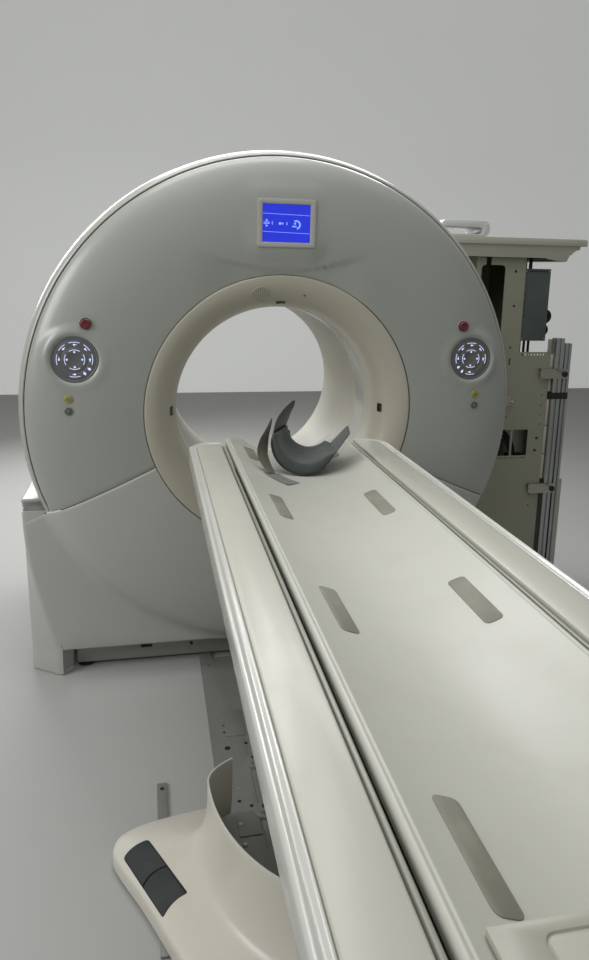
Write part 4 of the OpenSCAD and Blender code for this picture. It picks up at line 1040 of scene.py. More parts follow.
# %% Display frame and panel
screen_at = (0.0, iso_z + screen_up)
bezel_stages = [
    (0.1900, 0.1480, 0.004, 0.0310),
    (0.1900, 0.1480, 0.004, 0.0185),
    (0.2140, 0.1680, 0.010, 0.0185),
    (0.2140, 0.1680, 0.010, 0.0140),
    (0.2130, 0.1670, 0.010, 0.0126),
    (0.2100, 0.1640, 0.009, 0.0121),
    (0.1800, 0.1380, 0.005, 0.0126),
    (0.1755, 0.1335, 0.003, 0.0134),
    (0.1742, 0.1322, 0.002, 0.0160),
    (0.1742, 0.1322, 0.002, 0.0225),
    (0.1650, 0.1230, 0.002, 0.0235),
    (0.1650, 0.1230, 0.002, 0.0310)]
bezel = framed("display_frame", screen_at, bezel_stages)
fit(bezel, "gantry", band_finish, ("display_bezel",), 30)
panel_stages = [(0.1738, 0.1318, 0.002, 0.0228), (0.1738, 0.1318, 0.002, 0.0186),
                (0.1728, 0.1308, 0.002, 0.0181)]
panel = framed("display_panel", screen_at, panel_stages, ring=False)
fit(panel, "gantry", screen_finish, ("display_screen",), 30)
print("display frame:", count_triangles(bezel), "triangles")


# %% Outlines of marks
def plates(name, shapes, depth, thick, centre=(0.0, 0.0)):
    """Flat closed plates from outlines in X and Z."""
    points, faces = [], []
    for shape in shapes:
        if sum(a[0] * b[1] - b[0] * a[1] for a, b in zip(shape, shape[1:] + shape[:1])) < 0:
            shape = shape[::-1]
        n, base = len(shape), len(points)
        points += [(centre[0] + x, depth, centre[1] + z) for x, z in shape]
        points += [(centre[0] + x, depth + thick, centre[1] + z) for x, z in shape]
        faces.append(tuple(base + i for i in range(n)))
        faces.append(tuple(base + n + i for i in reversed(range(n))))
        faces += [(base + i, base + n + i, base + n + (i + 1) % n, base + (i + 1) % n) for i in range(n)]
    return piece(name, points, faces)


def bar(x0, z0, x1, z1, width):
    dx, dz = x1 - x0, z1 - z0
    size = math.hypot(dx, dz)
    nx, nz = -dz / size * width / 2, dx / size * width / 2
    return [(x0 + nx, z0 + nz), (x0 - nx, z0 - nz), (x1 - nx, z1 - nz), (x1 + nx, z1 + nz)]


def curved_bar(x, z, radius, middle, span, width, steps=8):
    turns = [math.radians(middle - span / 2 + span * i / steps) for i in range(steps + 1)]
    outer, inner = radius + width / 2, radius - width / 2
    outside = [(x + outer * math.cos(t), z + outer * math.sin(t)) for t in turns]
    inside = [(x + inner * math.cos(t), z + inner * math.sin(t)) for t in turns]
    return outside + inside[::-1]


def dot(x, z, radius, sides=10):
    turns = [2 * math.pi * i / sides for i in range(sides)]
    return [(x + radius * math.cos(t), z + radius * math.sin(t)) for t in turns]


# %% Marks of the display
arrow_x, arrow_tip, arrow_foot = -0.072, 0.0145, 0.007
arrow_left, arrow_right = -0.0775, -0.0665
marks = [bar(-0.085, 0.033, 0.085, 0.029, 0.0016), bar(-0.085, -0.030, 0.084, -0.034, 0.0016)]
marks.append([(arrow_x, arrow_tip), (arrow_left, arrow_foot), (arrow_right, arrow_foot)])
marks.append([(arrow_x, -arrow_tip), (arrow_right, -arrow_foot), (arrow_left, -arrow_foot)])
marks += [bar(-0.083, q, -0.061, q, 0.0028) for q in (-0.0022, 0.0022)]
marks += [curved_bar(-0.044, 0.0, 0.008, 180, 80, 0.003), curved_bar(-0.006, -0.001, 0.008, 0, 80, 0.003)]
marks += [dot(-0.0235, -0.001, 0.0050), dot(-0.0145, -0.001, 0.0036)]
marks += [curved_bar(0.036, -0.004, 0.0135, 20, 200, 0.006, 14)]
marks += [bar(0.021, -0.010, 0.037, -0.010, 0.0050), dot(0.031, 0.000, 0.0040)]
display_marks = plates("display_marks", marks, 0.0178, 0.0004, screen_at)
fit(display_marks, "gantry", line_finish, (), 30)
print("display marks:", len(marks))

# %% [markdown]
# ## Keypads
#
# Each keypad is a dark round membrane, a little dished, sunk into its collar. Its keys are raised
# softly under the membrane, and lit marks show through: bars round the outside, and four bows
# round the middle. Only a small pair of marks differs, which sits at the lower inner corner.

# %% Keypads
def turned_button(name, x, z, profile, sides=48):
    """A round piece that looks towards the foot end, from radius and depth."""
    points = []
    for r, y in profile:
        points += [(px, y, pz) for px, pz in dot(x, z, max(r, 1e-5), sides)]
    return piece(name, points, rows_to_faces(len(profile), sides, closed=True, ends=True))


def at_turn(radius, a):
    return radius * math.cos(a), radius * math.sin(a)


def key_marks(side):
    shapes = []
    for angle in (0, 45, 90, 135, 180, 270):
        a = math.radians(angle)
        wide = 30 if angle % 90 else 38
        shapes.append(curved_bar(0, 0, 0.0615, angle, wide * 0.92, 0.0024))
        cx, cz = at_turn(0.0525, a)
        shapes.append(dot(cx, cz, 0.0036))
        tx, tz = -math.sin(a), math.cos(a)
        shapes.append(bar(cx - 0.009 * tx, cz - 0.009 * tz, cx + 0.004 * tx, cz + 0.004 * tz, 0.0022))
    for angle in (0, 90, 180, 270):
        shapes.append(curved_bar(0, 0, 0.0345, angle, 64, 0.0024))
        shapes.append(dot(*at_turn(0.0265, math.radians(angle)), 0.0038))
    corner = -45 if side < 0 else -135
    for shift in (-11, 11):
        a = math.radians(corner + shift)
        shapes.append(dot(*at_turn(0.0600, a), 0.0052, 5))
        shapes.append(bar(*at_turn(0.052, a), *at_turn(0.066, a), 0.0030))
    return shapes


keypad_profile = [
    (0.0, 0.036), (0.0800, 0.036), (0.0817, 0.034), (0.0817, 0.0240), (0.0812, 0.0222), (0.0795, 0.0212),
    (0.0765, 0.0216), (0.0745, 0.0232), (0.0720, 0.0226), (0.0600, 0.0224), (0.0480, 0.0226),
    (0.0460, 0.0236), (0.0440, 0.0226), (0.0340, 0.0222), (0.0230, 0.0226), (0.0200, 0.0240),
    (0.0120, 0.0244), (0.0, 0.0245)]
both_names = ((-1, "left"), (1, "right"))
keypads = {}
for side, name in both_names:
    x, z = side * keypad_place[0], iso_z + keypad_place[1]
    keypads[name] = turned_button("keypad_" + name, x, z, keypad_profile, 72)
    keypads["marks_" + name] = plates("key_marks_" + name, key_marks(side), 0.0217, 0.0012, (x, z))
for side, name in both_names:
    fit(keypads[name], "gantry", keypad_finish, ("keypads",), 30)
    fit(keypads["marks_" + name], "gantry", mark_finish, (), 30)
print("keypads:", [p.name for p in keypads.values()])

# %% [markdown]
# ## Buttons, lamps and laser windows
#
# The stop buttons are red caps with a rounded edge and a shallow dish, each on its own body, since
# they can be pressed. Under each keypad sit two small round lamps, a yellow one over a grey one.

# %% Stop buttons and lamps
stop_profile = [
    (0.0, 0.0455), (0.009, 0.0455), (0.009, 0.0236), (0.0172, 0.0236), (0.0180, 0.0226), (0.0180, 0.0120),
    (0.0176, 0.0092), (0.0162, 0.0074), (0.0140, 0.0065), (0.0120, 0.0068), (0.0095, 0.0074),
    (0.0050, 0.0078), (0.0, 0.0079)]
collar_profile = [(0.0192, 0.0200), (0.0205, 0.0168), (0.0225, 0.0160), (0.0240, 0.0168), (0.0242, 0.0215),
                  (0.0192, 0.0215)]
lamp_profile = [(0.0, 0.036), (0.0137, 0.036), (0.0137, 0.0165), (0.0131, 0.0150), (0.0118, 0.0143),
                (0.0104, 0.0146), (0.0096, 0.0160), (0.0080, 0.0152), (0.0045, 0.0141), (0.0, 0.0138)]
star_sign = [bar(0, 0, *at_turn(0.0062, math.radians(q)), 0.0028) for q in (30, 150, 270)]
line_sign = [bar(0, -0.0052, 0, 0.0052, 0.0026)]
lamp_kinds = ((amber_finish, star_sign, grey_lamp_finish), (grey_lamp_finish, line_sign, amber_finish))
for side, name in both_names:
    x, z = side * stop_place[0], iso_z + stop_place[1]
    button = turned_button(name + "_stop_cap", x, z, stop_profile, 40)
    fit(button, name + "_stop", stop_finish, (name + "_stop_button",), 40)
    collar = turned_button(name + "_stop_collar", x, z, collar_profile, 40)
    fit(collar, "gantry", face_finish, (), 40)
    for k, (place, (lamp_colour, sign, sign_colour)) in enumerate(zip(lamp_place, lamp_kinds)):
        x, z = side * place[0], iso_z + place[1]
        lamp = turned_button(f"{name}_lamp_{k}", x, z, lamp_profile, 32)
        fit(lamp, "gantry", lamp_colour, ("indicator_lamps",), 30)
        sign_piece = plates(f"{name}_lamp_sign_{k}", sign, 0.0136, 0.0012, (x, z))
        fit(sign_piece, "gantry", sign_colour, (), 30)
print("buttons and lamps ready")


# %% Plates on the funnel wall
def on_lip(r, angle):
    """Place, outward normal and two tangents on the funnel wall; the angle is below the horizontal."""
    c = (funnel_r - r) / (funnel_r - bore_r)
    depth = mouth_y - (mouth_y - funnel_y) * math.sqrt(1 - c * c)
    slope = math.atan2(c * (mouth_y - funnel_y), math.sqrt(1 - c * c) * (funnel_r - bore_r))
    a = math.radians(angle)
    radial = Vector((math.cos(a), 0, -math.sin(a)))
    along = Vector((-math.sin(a), 0, -math.cos(a)))
    depth_way = Vector((0, 1, 0))
    out = -(math.cos(slope) * depth_way + math.sin(slope) * radial)
    down_lip = math.cos(slope) * radial - math.sin(slope) * depth_way
    return Vector((0, 0, iso_z)) + radial * r + depth_way * depth, out, down_lip, along


def lip_plate(name, r, angle, stages):
    """A closed plate through rounded rectangles given as width, height, radius and lift."""
    place, out, across, along = on_lip(r, angle)
    points = []
    for width, height, radius, lift in stages:
        loop = rounded_loop(width, height, radius)
        points += [place + along * x + across * z + out * lift for x, z in loop]
    return piece(name, points, rows_to_faces(len(stages), loop_points, closed=True, ends=True))


# %% Laser windows
laser_r = 0.409
laser_frame_stages = [(0.0355, 0.0255, 0.003, -0.003), (0.0355, 0.0255, 0.003, 0.0012),
                      (0.0340, 0.0240, 0.003, 0.0018)]
laser_glass_stages = [(0.0300, 0.0200, 0.002, 0.0010), (0.0300, 0.0200, 0.002, 0.0021),
                      (0.0290, 0.0190, 0.002, 0.0024)]
for k, angle in enumerate((-90, 0, 180)):
    frame_plate = lip_plate(f"laser_frame_{k}", laser_r, angle, laser_frame_stages)
    fit(frame_plate, "gantry", grey_lamp_finish, ("laser_windows",), 30)
    glass = lip_plate(f"laser_glass_{k}", laser_r, angle, laser_glass_stages)
    fit(glass, "gantry", dark_glass_and_hole_shade_finish, (), 30)
print("laser windows ready")

# %% [markdown]
# ## Speaker holes
#
# The speaker is a round patch of small holes. They repeat on a grid, so Geometry Nodes place
# them: a grid of points keeps those inside a circle, and each gets a low dark stud. The stud's near
# black colour is painted shade: it stands for the dark inside of a hole, and it costs a few faces
# where a real hole would cut up the plate. The same tree later places bolt heads.

# %% Nodes that place studs
def node_tree(name, inputs):
    """An empty tree with named inputs; returns it, its two end nodes and each input's identifier."""
    tree = bpy.data.node_groups.new(name, "GeometryNodeTree")
    tree.interface.new_socket("Geometry", in_out="INPUT", socket_type="NodeSocketGeometry")
    sockets = {}
    for label, kind, value in inputs:
        made = tree.interface.new_socket(label, in_out="INPUT", socket_type=kind)
        made.default_value = value
        sockets[label] = made.identifier
    tree.interface.new_socket("Geometry", in_out="OUTPUT", socket_type="NodeSocketGeometry")
    return tree, tree.nodes.new("NodeGroupInput"), tree.nodes.new("NodeGroupOutput"), sockets


def add(tree, kind, settings=None, sockets=None):
    """Adds a node; a socket is named by its label or its number, and takes a value or a link."""
    made = tree.nodes.new(kind)
    for key, value in (settings or {}).items():
        setattr(made, key, value)
    for key, value in (sockets or {}).items():
        if isinstance(value, bpy.types.NodeSocket):
            tree.links.new(value, made.inputs[key])
        else:
            made.inputs[key].default_value = value
    return made


def studs_tree(name):
    """Rows of low round studs: count and pitch in two directions, inside a radius."""
    tree, given, result, sockets = node_tree(name, [
        ("Across", "NodeSocketInt", 5),
        ("Up", "NodeSocketInt", 5),
        ("Pitch X", "NodeSocketFloat", 0.01),
        ("Pitch Z", "NodeSocketFloat", 0.01),
        ("Reach", "NodeSocketFloat", 1.0),
        ("Radius", "NodeSocketFloat", 0.002),
        ("Height", "NodeSocketFloat", 0.001),
        ("Sides", "NodeSocketInt", 8),
        ("Material", "NodeSocketMaterial", None)])
    out = given.outputs

    def maths(operation, first, second):
        return add(tree, "ShaderNodeMath", {"operation": operation}, {0: first, 1: second}).outputs[0]

    wide = maths("MULTIPLY", maths("SUBTRACT", out["Across"], 1), out["Pitch X"])
    tall = maths("MULTIPLY", maths("SUBTRACT", out["Up"], 1), out["Pitch Z"])
    grid = add(tree, "GeometryNodeMeshGrid", None, {
        "Size X": wide, "Size Y": tall, "Vertices X": out["Across"], "Vertices Y": out["Up"]})
    place = add(tree, "GeometryNodeInputPosition").outputs[0]
    distance = add(tree, "ShaderNodeVectorMath", {"operation": "LENGTH"}, {0: place}).outputs["Value"]
    far = add(tree, "FunctionNodeCompare", {"data_type": "FLOAT", "operation": "GREATER_THAN"},
              {0: distance, 1: out["Reach"]})
    kept = add(tree, "GeometryNodeDeleteGeometry", {"domain": "POINT"}, {
        "Geometry": grid.outputs["Mesh"], "Selection": far.outputs[0]})
    stud = add(tree, "GeometryNodeMeshCone", None, {
        "Vertices": out["Sides"], "Radius Bottom": out["Radius"], "Depth": out["Height"],
        "Radius Top": maths("MULTIPLY", out["Radius"], 0.78)})
    placed = add(tree, "GeometryNodeInstanceOnPoints", None, {
        "Points": kept.outputs[0], "Instance": stud.outputs["Mesh"]})
    real = add(tree, "GeometryNodeRealizeInstances", None, {"Geometry": placed.outputs[0]})
    coloured = add(tree, "GeometryNodeSetMaterial", None, {
        "Geometry": real.outputs[0], "Material": out["Material"]})
    tree.links.new(coloured.outputs[0], result.inputs[0])
    return tree, sockets


stud_rows, stud_sockets = studs_tree("stud_rows")
print("stud tree inputs:", list(stud_sockets))


# %% Studs on a plane
def studs(radius, height, sides, across=1, up=1, pitch_x=0.01, pitch_z=0.01, reach=1.0):
    return {"Across": across, "Up": up, "Pitch X": pitch_x, "Pitch Z": pitch_z, "Reach": reach,
            "Radius": radius, "Height": height, "Sides": sides}


def stud_field(name, place, x_way, z_way, values, finish):
    """Studs made flat by the tree, then laid on a plane given by two directions."""
    obj = piece(name, [(0, 0, 0), (1e-4, 0, 0), (0, 1e-4, 0)], [(0, 1, 2)])
    modifier = obj.modifiers.new("repeat", "NODES")
    modifier.node_group = stud_rows
    for label, value in dict(values, Material=finish).items():
        modifier[stud_sockets[label]] = value
    plain(obj)
    columns_of_turn = (x_way, z_way, x_way.cross(z_way), place)
    obj.data.transform(Matrix([[way[k] for way in columns_of_turn] for k in range(3)] + [[0, 0, 0, 1]]))
    return fit(obj, "gantry", finish, (), 30)


# %% Speaker and microphone
speaker_r = 0.446
speaker_angle = -100.7
microphone_angle = -79.3
speaker_stages = [(0.075, 0.075, 0.037, -0.0015), (0.075, 0.075, 0.037, 0.0012),
                  (0.0738, 0.0738, 0.0365, 0.0016)]
microphone_stages = [(0.0096, 0.0096, 0.0047, -0.001), (0.0096, 0.0096, 0.0047, 0.0012),
                     (0.0084, 0.0084, 0.0041, 0.0018)]
speaker_place, out_way, _, x_way = on_lip(speaker_r, speaker_angle)
disc = lip_plate("speaker_disc", speaker_r, speaker_angle, speaker_stages)
fit(disc, "gantry", cream_finish, ("speaker_grille",), 30)
# The studs' near black finish is painted shade, standing for the dark inside of the speaker's holes.
hole_studs = studs(0.0016, 0.0006, 8, 9, 9, 0.0078, 0.0078, 0.0330)
stud_field("speaker_holes", speaker_place + out_way * 0.0019, x_way, out_way.cross(x_way), hole_studs,
           dark_glass_and_hole_shade_finish)
microphone = lip_plate("microphone", speaker_r, microphone_angle, microphone_stages)
fit(microphone, "gantry", grey_lamp_finish, (), 30)
print("speaker ready")

# %% [markdown]
# ## The long table
#
# The patient table is a steel chassis on a telescopic column, closed by a pan below and by two
# moulded shoulders above. Everything on it is long and straight, so most pieces are one section
# carried along the table. The plan of the table has round corners, and the edge profile follows
# them, so the shoulders are drawn as that plan moved inwards.

# %% Sizes of the table
body_of = {node: body for body, names in frame["record"]["behaviour"]["bodies"].items() for node in names}
table_top = 0.968
table_half = 0.360
table_head = -0.090
table_foot = -2.450
plan_radius = 0.080
edge_width = 0.026
edge_height = 0.063
slot_half = 0.245
joint_gap = 0.0003


def table_plan(d, steps=10):
    """Right half of the table's plan, drawn inwards by d, from the head slot to the foot slot."""
    r = plan_radius - d
    cx = table_half - plan_radius
    turns = [math.pi / 2 * i / steps for i in range(steps + 1)]
    path = [(slot_half, table_head - d)]
    path += [(cx + r * math.sin(t), table_head - plan_radius + r * math.cos(t)) for t in turns]
    path += [(cx + r * math.cos(t), table_foot + plan_radius - r * math.sin(t)) for t in turns]
    path.append((slot_half, table_foot + d))
    return path


def both_sides(name, points, faces):
    """A piece and its mirror image across the table's middle, as one mesh."""
    n = len(points)
    other_points = [(-x, y, z) for x, y, z in points]
    other_faces = [tuple(n + k for k in reversed(f)) for f in faces]
    return piece(name, points + other_points, faces + other_faces)


plan_points = len(table_plan(0))
print("table plan has", plan_points, "points on a side")

# %% Shoulders
shell = 0.005
shoulder_stages = [(shell, shell), (shell, edge_height), (0, edge_height), (0, 0.0060), (0.0006, 0.0032),
                   (0.0021, 0.0011), (0.0048, 0.0)]


def shoulder_row(d, z):
    """The plan inside the edge profile, drawn inwards by d, with its slot side moved as well."""
    outer = table_plan(edge_width + joint_gap + d)
    outer[0] = (slot_half + d, outer[0][1])
    outer[-1] = (slot_half + d, outer[-1][1])
    return [(x, y, z) for x, y in outer]


points = [p for d, drop in shoulder_stages for p in shoulder_row(d, table_top - drop)]
faces = rows_to_faces(len(shoulder_stages), plan_points, closed=True, ends=True)
shoulders = both_sides("shoulders", points, faces)
fit(shoulders, "table_top", table_finish, ("table_side_covers",), 40)
print("shoulders:", count_triangles(shoulders), "triangles")

# %% Inner rails
rail_low = table_top - 0.034
rail_top = table_top - 0.007
rail_in, rail_out = slot_half - 0.013, slot_half - 0.004
rail_side = slot_half - 0.0004
rail_end = 0.0265
rail_section = [
    (rail_in, rail_low), (rail_in, rail_top - 0.002), (rail_in + 0.0012, rail_top - 0.0005),
    (rail_in + 0.003, rail_top), (rail_out - 0.003, rail_top), (rail_out - 0.0012, rail_top - 0.0005),
    (rail_out, rail_top - 0.002), (rail_out, rail_low + shell), (rail_side, rail_low + shell),
    (rail_side, rail_low)]
points = [(x, y, z) for y in (table_head - rail_end, table_foot + rail_end) for x, z in rail_section]
rails = both_sides("inner_rails", points, rows_to_faces(2, len(rail_section), closed=True, ends=True))
# The rails' darker tone is partly their own olive grey and partly painted shade of the slot between shoulder
# and cradle.
fit(rails, "table_top", rail_painted_shade_finish, (), 40)
print("inner rails:", count_triangles(rails), "triangles")

# %% Edge profiles
edge_round = 0.0062
ridges = [(0.0085, 0.0004), (0.0105, 0.0018), (0.0128, 0.0033), (0.0155, 0.0036), (0.0180, 0.0024),
          (0.0198, 0.0008), (0.0218, 0.0001), (0.0240, 0.0003), (0.0254, 0.0012), (0.0258, 0.0026)]
turns = [math.pi / 2 * i / 6 for i in range(7)]
outer_edge = [(edge_round - edge_round * math.cos(t), edge_round - edge_round * math.sin(t)) for t in turns]
section = [(0.0256, edge_height), (edge_round, edge_height), (0.0018, edge_height - 0.0050),
           (0, edge_height - 0.0110)] + outer_edge + ridges
plans = [table_plan(d) for d, drop in section]
points = []
for i in range(plan_points):
    for plan, (d, drop) in zip(plans, section):
        points.append((plan[i][0], plan[i][1], table_top - drop))
faces = rows_to_faces(plan_points, len(section), closed=True, ends=True)
profiles = both_sides("edge_profiles_dressed", points, faces)
fit(profiles, "table_top", edge_finish, ("edge_profiles",), 50)
print("edge profiles:", count_triangles(profiles), "triangles")

# %% [markdown]
# ## The cradle
#
# The cradle slides over the table and carries the patient. It is a long smooth board with a
# hollow, and its lips are rounded with a fine step inside them. The section is worked out from
# two arcs, for the hollow and the belly, and the lip is a short list of heights. Eight dark grip
# strips lie in the hollow, so their points are laid on its arc.

# %% Section of the cradle
cradle_half = 0.223
cradle_head = -0.020
cradle_foot = -2.400
hollow_radius = 0.420
hollow_floor = 0.913
belly_low = 0.893
belly_radius = 0.515
cradle_corner = 0.040
cradle_lip = [
    (0.0215, 0.9645 - table_top), (0.0185, -0.0020), (0.0165, -0.0009), (0.0145, -0.0005), (0.0131, -0.0010),
    (0.0122, -0.0020), (0.0114, -0.0021), (0.0104, -0.0009), (0.0088, -0.0002), (0.0062, 0.0),
    (0.0036, -0.0009), (0.0015, -0.0030), (0.0003, -0.0060), (0.0, -0.0100)]


def hollow_height(x):
    return hollow_floor + hollow_radius - math.sqrt(hollow_radius ** 2 - x * x)


def cradle_half_section():
    """Points from the middle of the hollow out over the lip and under to the middle of the belly."""
    hollow = [(0.0095 * i, hollow_height(0.0095 * i)) for i in range(22)]
    belly = []
    for i in range(21):
        x = cradle_half * (1 - i / 20)
        belly.append((x, belly_low + belly_radius - math.sqrt(belly_radius ** 2 - x * x)))
    return hollow + [(cradle_half - inwards, table_top + h) for inwards, h in cradle_lip] + belly


half = cradle_half_section()
section = half + [(-x, z) for x, z in reversed(half[1:-1])]
print("cradle section:", len(section), "points")


# %% Cradle
def cradle_reach(y):
    """How far the sides draw in near the round corners at the head and the foot."""
    near = min(cradle_head - y, y - cradle_foot)
    if near >= cradle_corner:
        return 0.0
    return cradle_corner - math.sqrt(cradle_corner ** 2 - (cradle_corner - near) ** 2)


corner_steps = [cradle_corner * (1 - math.cos(math.pi / 2 * i / 9)) for i in range(10)]
stations = [cradle_head - s for s in corner_steps]
stations += [cradle_head - 0.2 * i for i in range(1, 12)]
stations += [cradle_foot + s for s in reversed(corner_steps)]
stations[0] -= 0.0012
stations[-1] += 0.0012
points = []
for y in stations:
    pull = cradle_reach(y)
    for x, z in section:
        moved = pull * between(abs(x), 0.09, 0.20)
        points.append((x - math.copysign(moved, x), y, z))
faces = rows_to_faces(len(stations), len(section), closed=True, ends=True)
cradle = round_edges(piece("cradle_board_dressed", points, faces), 0.0011, 2, 55)
fit(cradle, "cradle_board", cradle_finish, ("cradle",), 40)
print("cradle:", count_triangles(cradle), "triangles")

# %% Grip strips and foot plate
strip_places = ((-0.235, 0.165), (-0.822, 0.192), (-1.432, 0.187), (-2.026, 0.176))
strip_inner, strip_outer = 0.123, 0.160
strip_wide = strip_outer - strip_inner
strip_middle = (strip_inner + strip_outer) / 2
strip_radius = 0.011
strip_stages = ((0, 0.0002), (0, 0.0010), (0.0006, 0.0015))


def on_hollow(x, y, lift):
    angle = math.asin(x / hollow_radius)
    r = hollow_radius - lift
    return (r * math.sin(angle), y, hollow_floor + hollow_radius - r * math.cos(angle))


def strip(first, long, side):
    """Points and faces of one strip; its top is a row of quads, so that it follows the arc."""
    outline = rounded_loop(strip_wide, long, strip_radius)
    n = len(outline)
    points = []
    for shrink, lift in strip_stages:
        narrow, short = 1 - 2 * shrink / strip_wide, 1 - 2 * shrink / long
        for x, y in outline:
            points.append(on_hollow(side * (strip_middle + x * narrow), first + long / 2 + y * short, lift))
    faces = rows_to_faces(len(strip_stages), n, closed=True)
    top = 2 * n
    faces += [(top + i, top + i + 1, top + n - 2 - i, top + n - 1 - i) for i in range(n // 2 - 1)]
    faces.append(tuple(reversed(range(n))))
    return points, faces


points, faces = [], []
for first, long in strip_places:
    for side in (-1, 1):
        strip_points, strip_faces = strip(first, long, side)
        faces += [tuple(len(points) + k for k in f) for f in strip_faces]
        points += strip_points
strips = piece("grip_strips", points, faces)
fit(strips, "cradle_board", pad_finish, ("cradle_pads",), 40)
foot_board = dress("foot_plate", "cradle_board", foot_board_finish, 0.0016, 2, 40)
print("strips:", count_triangles(strips), "foot plate:", count_triangles(foot_board))

# %% [markdown]
# ## Base cover of the table
#
# One thick cream moulding stands round the column: an upright wall, open towards the gantry, that
# runs out into a wide foot flange. The flange is broad beside the pedals and narrow at the foot
# end. Its outer edge and its wall are two curves with the same parameter, so the whole surface is
# one profile laid between them, with a soft line where the slope turns up into the wall.

# %% Sizes of the base cover
cover_low = 0.0083
cover_high = 0.290
cover_wall = 0.005
wall_half = 0.362
wall_middle = -0.958
wall_reach = 0.427
wall_return = 0.137
wall_turn = 127
edge_line = (
    (0, 0, -1.600), (12, 0.130, -1.585), (25, 0.240, -1.520), (45, 0.385, -1.325), (75, 0.526, -1.040),
    (92, 0.604, -0.890), (96, 0.604, -0.850), (100, 0.585, -0.820), (105, 0.535, -0.795),
    (112, 0.445, -0.775), (119, 0.372, -0.765), (127, 0.310, -0.758))
flange_profile = (
    (0, cover_low), (0, 0.020), (0, 0.034), (0.004, 0.0415), (0.014, 0.0470), (0.032, 0.0508), (0.07, 0.0548),
    (0.14, 0.0600), (0.22, 0.0652), (0.32, 0.0715), (0.42, 0.0778), (0.52, 0.0840), (0.62, 0.0905),
    (0.71, 0.0968), (0.78, 0.1022), (0.825, 0.1075), (0.862, 0.1150), (0.900, 0.1270), (0.935, 0.1430),
    (0.962, 0.1620), (0.982, 0.1870), (0.994, 0.2150), (1.0, 0.2450), (1.0, 0.2700),
    (1.0, cover_high - 0.0022))
top_lip = ((0.0007, 0.0006), (0.0025, 0.0), (0.0043, 0.0006), (cover_wall, 0.0022))


# %% Curves of the base cover
def wall_point(a):
    t = math.radians(a)
    reach = wall_reach if abs(a) < 90 else wall_return
    return Vector((wall_half * math.sin(t), wall_middle - reach * math.cos(t)))


def edge_point(a):
    """A smooth curve through the corner points of the flange's outer edge."""
    t = abs(a)
    last = len(edge_line) - 1
    k = max(0, min(last - 1, sum(1 for row in edge_line if row[0] <= t) - 1))
    rows = [edge_line[max(0, k - 1)], edge_line[k], edge_line[k + 1], edge_line[min(last, k + 2)]]
    if k == 0:
        rows[0] = (-edge_line[1][0], -edge_line[1][1], edge_line[1][2])
    wide = rows[2][0] - rows[1][0]
    s = (t - rows[1][0]) / wide
    found = []
    for c in (1, 2):
        slope0 = (rows[2][c] - rows[0][c]) / (rows[2][0] - rows[0][0])
        slope1 = (rows[3][c] - rows[1][c]) / (rows[3][0] - rows[1][0])
        found.append((2 * s ** 3 - 3 * s * s + 1) * rows[1][c] + (s ** 3 - 2 * s * s + s) * slope0 * wide
                     + (3 * s * s - 2 * s ** 3) * rows[2][c] + (s ** 3 - s * s) * slope1 * wide)
    return Vector((math.copysign(found[0], a), found[1]))


def cover_section(a):
    """One section, from the flange's edge up the wall, over its lip and back inside."""
    outer, wall = edge_point(a), wall_point(a)
    across = wall - outer
    way = across.normalized()
    skin = [(outer + across * share, z) for share, z in flange_profile]
    skin += [(wall + way * inwards, cover_high - drop) for inwards, drop in top_lip]
    inner = []
    for share, z in reversed(flange_profile):
        reach = share * across.length + cover_wall if share > 0 else cover_wall
        drop = cover_wall if 0 < share < 1 else 0
        inner.append((outer + way * reach, max(cover_low, z - drop)))
    return skin + inner


# %% Base cover
cover_angles = [-wall_turn + 2 * wall_turn * i / 150 for i in range(151)]
cover_loops = [cover_section(a) for a in cover_angles]
points = [(p.x, p.y, z) for loop in cover_loops for p, z in loop]
faces = rows_to_faces(len(cover_loops), len(cover_loops[0]), closed=True, ends=True)
base_cover = piece("base_cover", points, faces)
print("base cover:", count_triangles(base_cover), "triangles")

# %% [markdown]
# ## Foot pedals
#
# Each side of the base cover holds one dark rubber pad in a pocket. It is two pedals in a row,
# one to raise and one to lower, parted by a curved groove. Both tilt about pins at the wall side.
# The pocket is cut through the moulding with a Boolean, because its outline is not in line with
# the rows of the surface, and a tray closes it below.

# %% Places of the pedals
pedal_place = Vector((-0.494, -0.995, 0.056))
pedal_turn = math.radians(116.4)
pedal_tilt = math.radians(17)
pedal_long = 0.108
pedal_half = 0.036
pedal_top = 0.012


def at_pedals(point, side):
    """From the pad's own frame, along the edge and towards the wall, to the object's frame."""
    u, v, w = point
    across = v * math.cos(pedal_tilt) - w * math.sin(pedal_tilt)
    up = v * math.sin(pedal_tilt) + w * math.cos(pedal_tilt)
    x = pedal_place.x + u * math.cos(pedal_turn) + across * math.sin(pedal_turn)
    y = pedal_place.y + u * math.sin(pedal_turn) - across * math.cos(pedal_turn)
    return (x if side < 0 else -x, y, pedal_place.z + up)


def pad_loop(u0, u1, half_w, bow0, bow1, corner, steps=8):
    """A strip between two bowed ends, with rounded corners at an end where corner is set."""
    loop = []
    for end, bow, r, order in ((u1, bow1, corner[1], 1), (u0, bow0, corner[0], -1)):
        row = []
        for i in range(-steps, steps + 1):
            v = half_w * math.sin(math.pi / 2 * i / steps)
            near = max(0.0, (abs(v) - (half_w - r)) / r) if r else 0.0
            back = r * (1 - math.sqrt(max(0.0, 1 - near * near))) if r else 0.0
            u = end + bow * (1 - (v / half_w) ** 2) - order * back
            row.append((u, v))
        loop += row if order < 0 else list(reversed(row))
    return loop


def lay_pad(name, side, loop, stages):
    """A closed pad from one outline; each stage shrinks it and gives its height."""
    points = []
    middle = Vector((sum(p[0] for p in loop) / len(loop), 0))
    for shrink, w in stages:
        for u, v in loop:
            way = Vector((u - middle.x, v))
            k = max(0.0, 1 - shrink / way.length)
            points.append(at_pedals((middle.x + way.x * k, way.y * k, w), side))
    return piece(name, points, rows_to_faces(len(stages), len(loop), closed=True, ends=True))


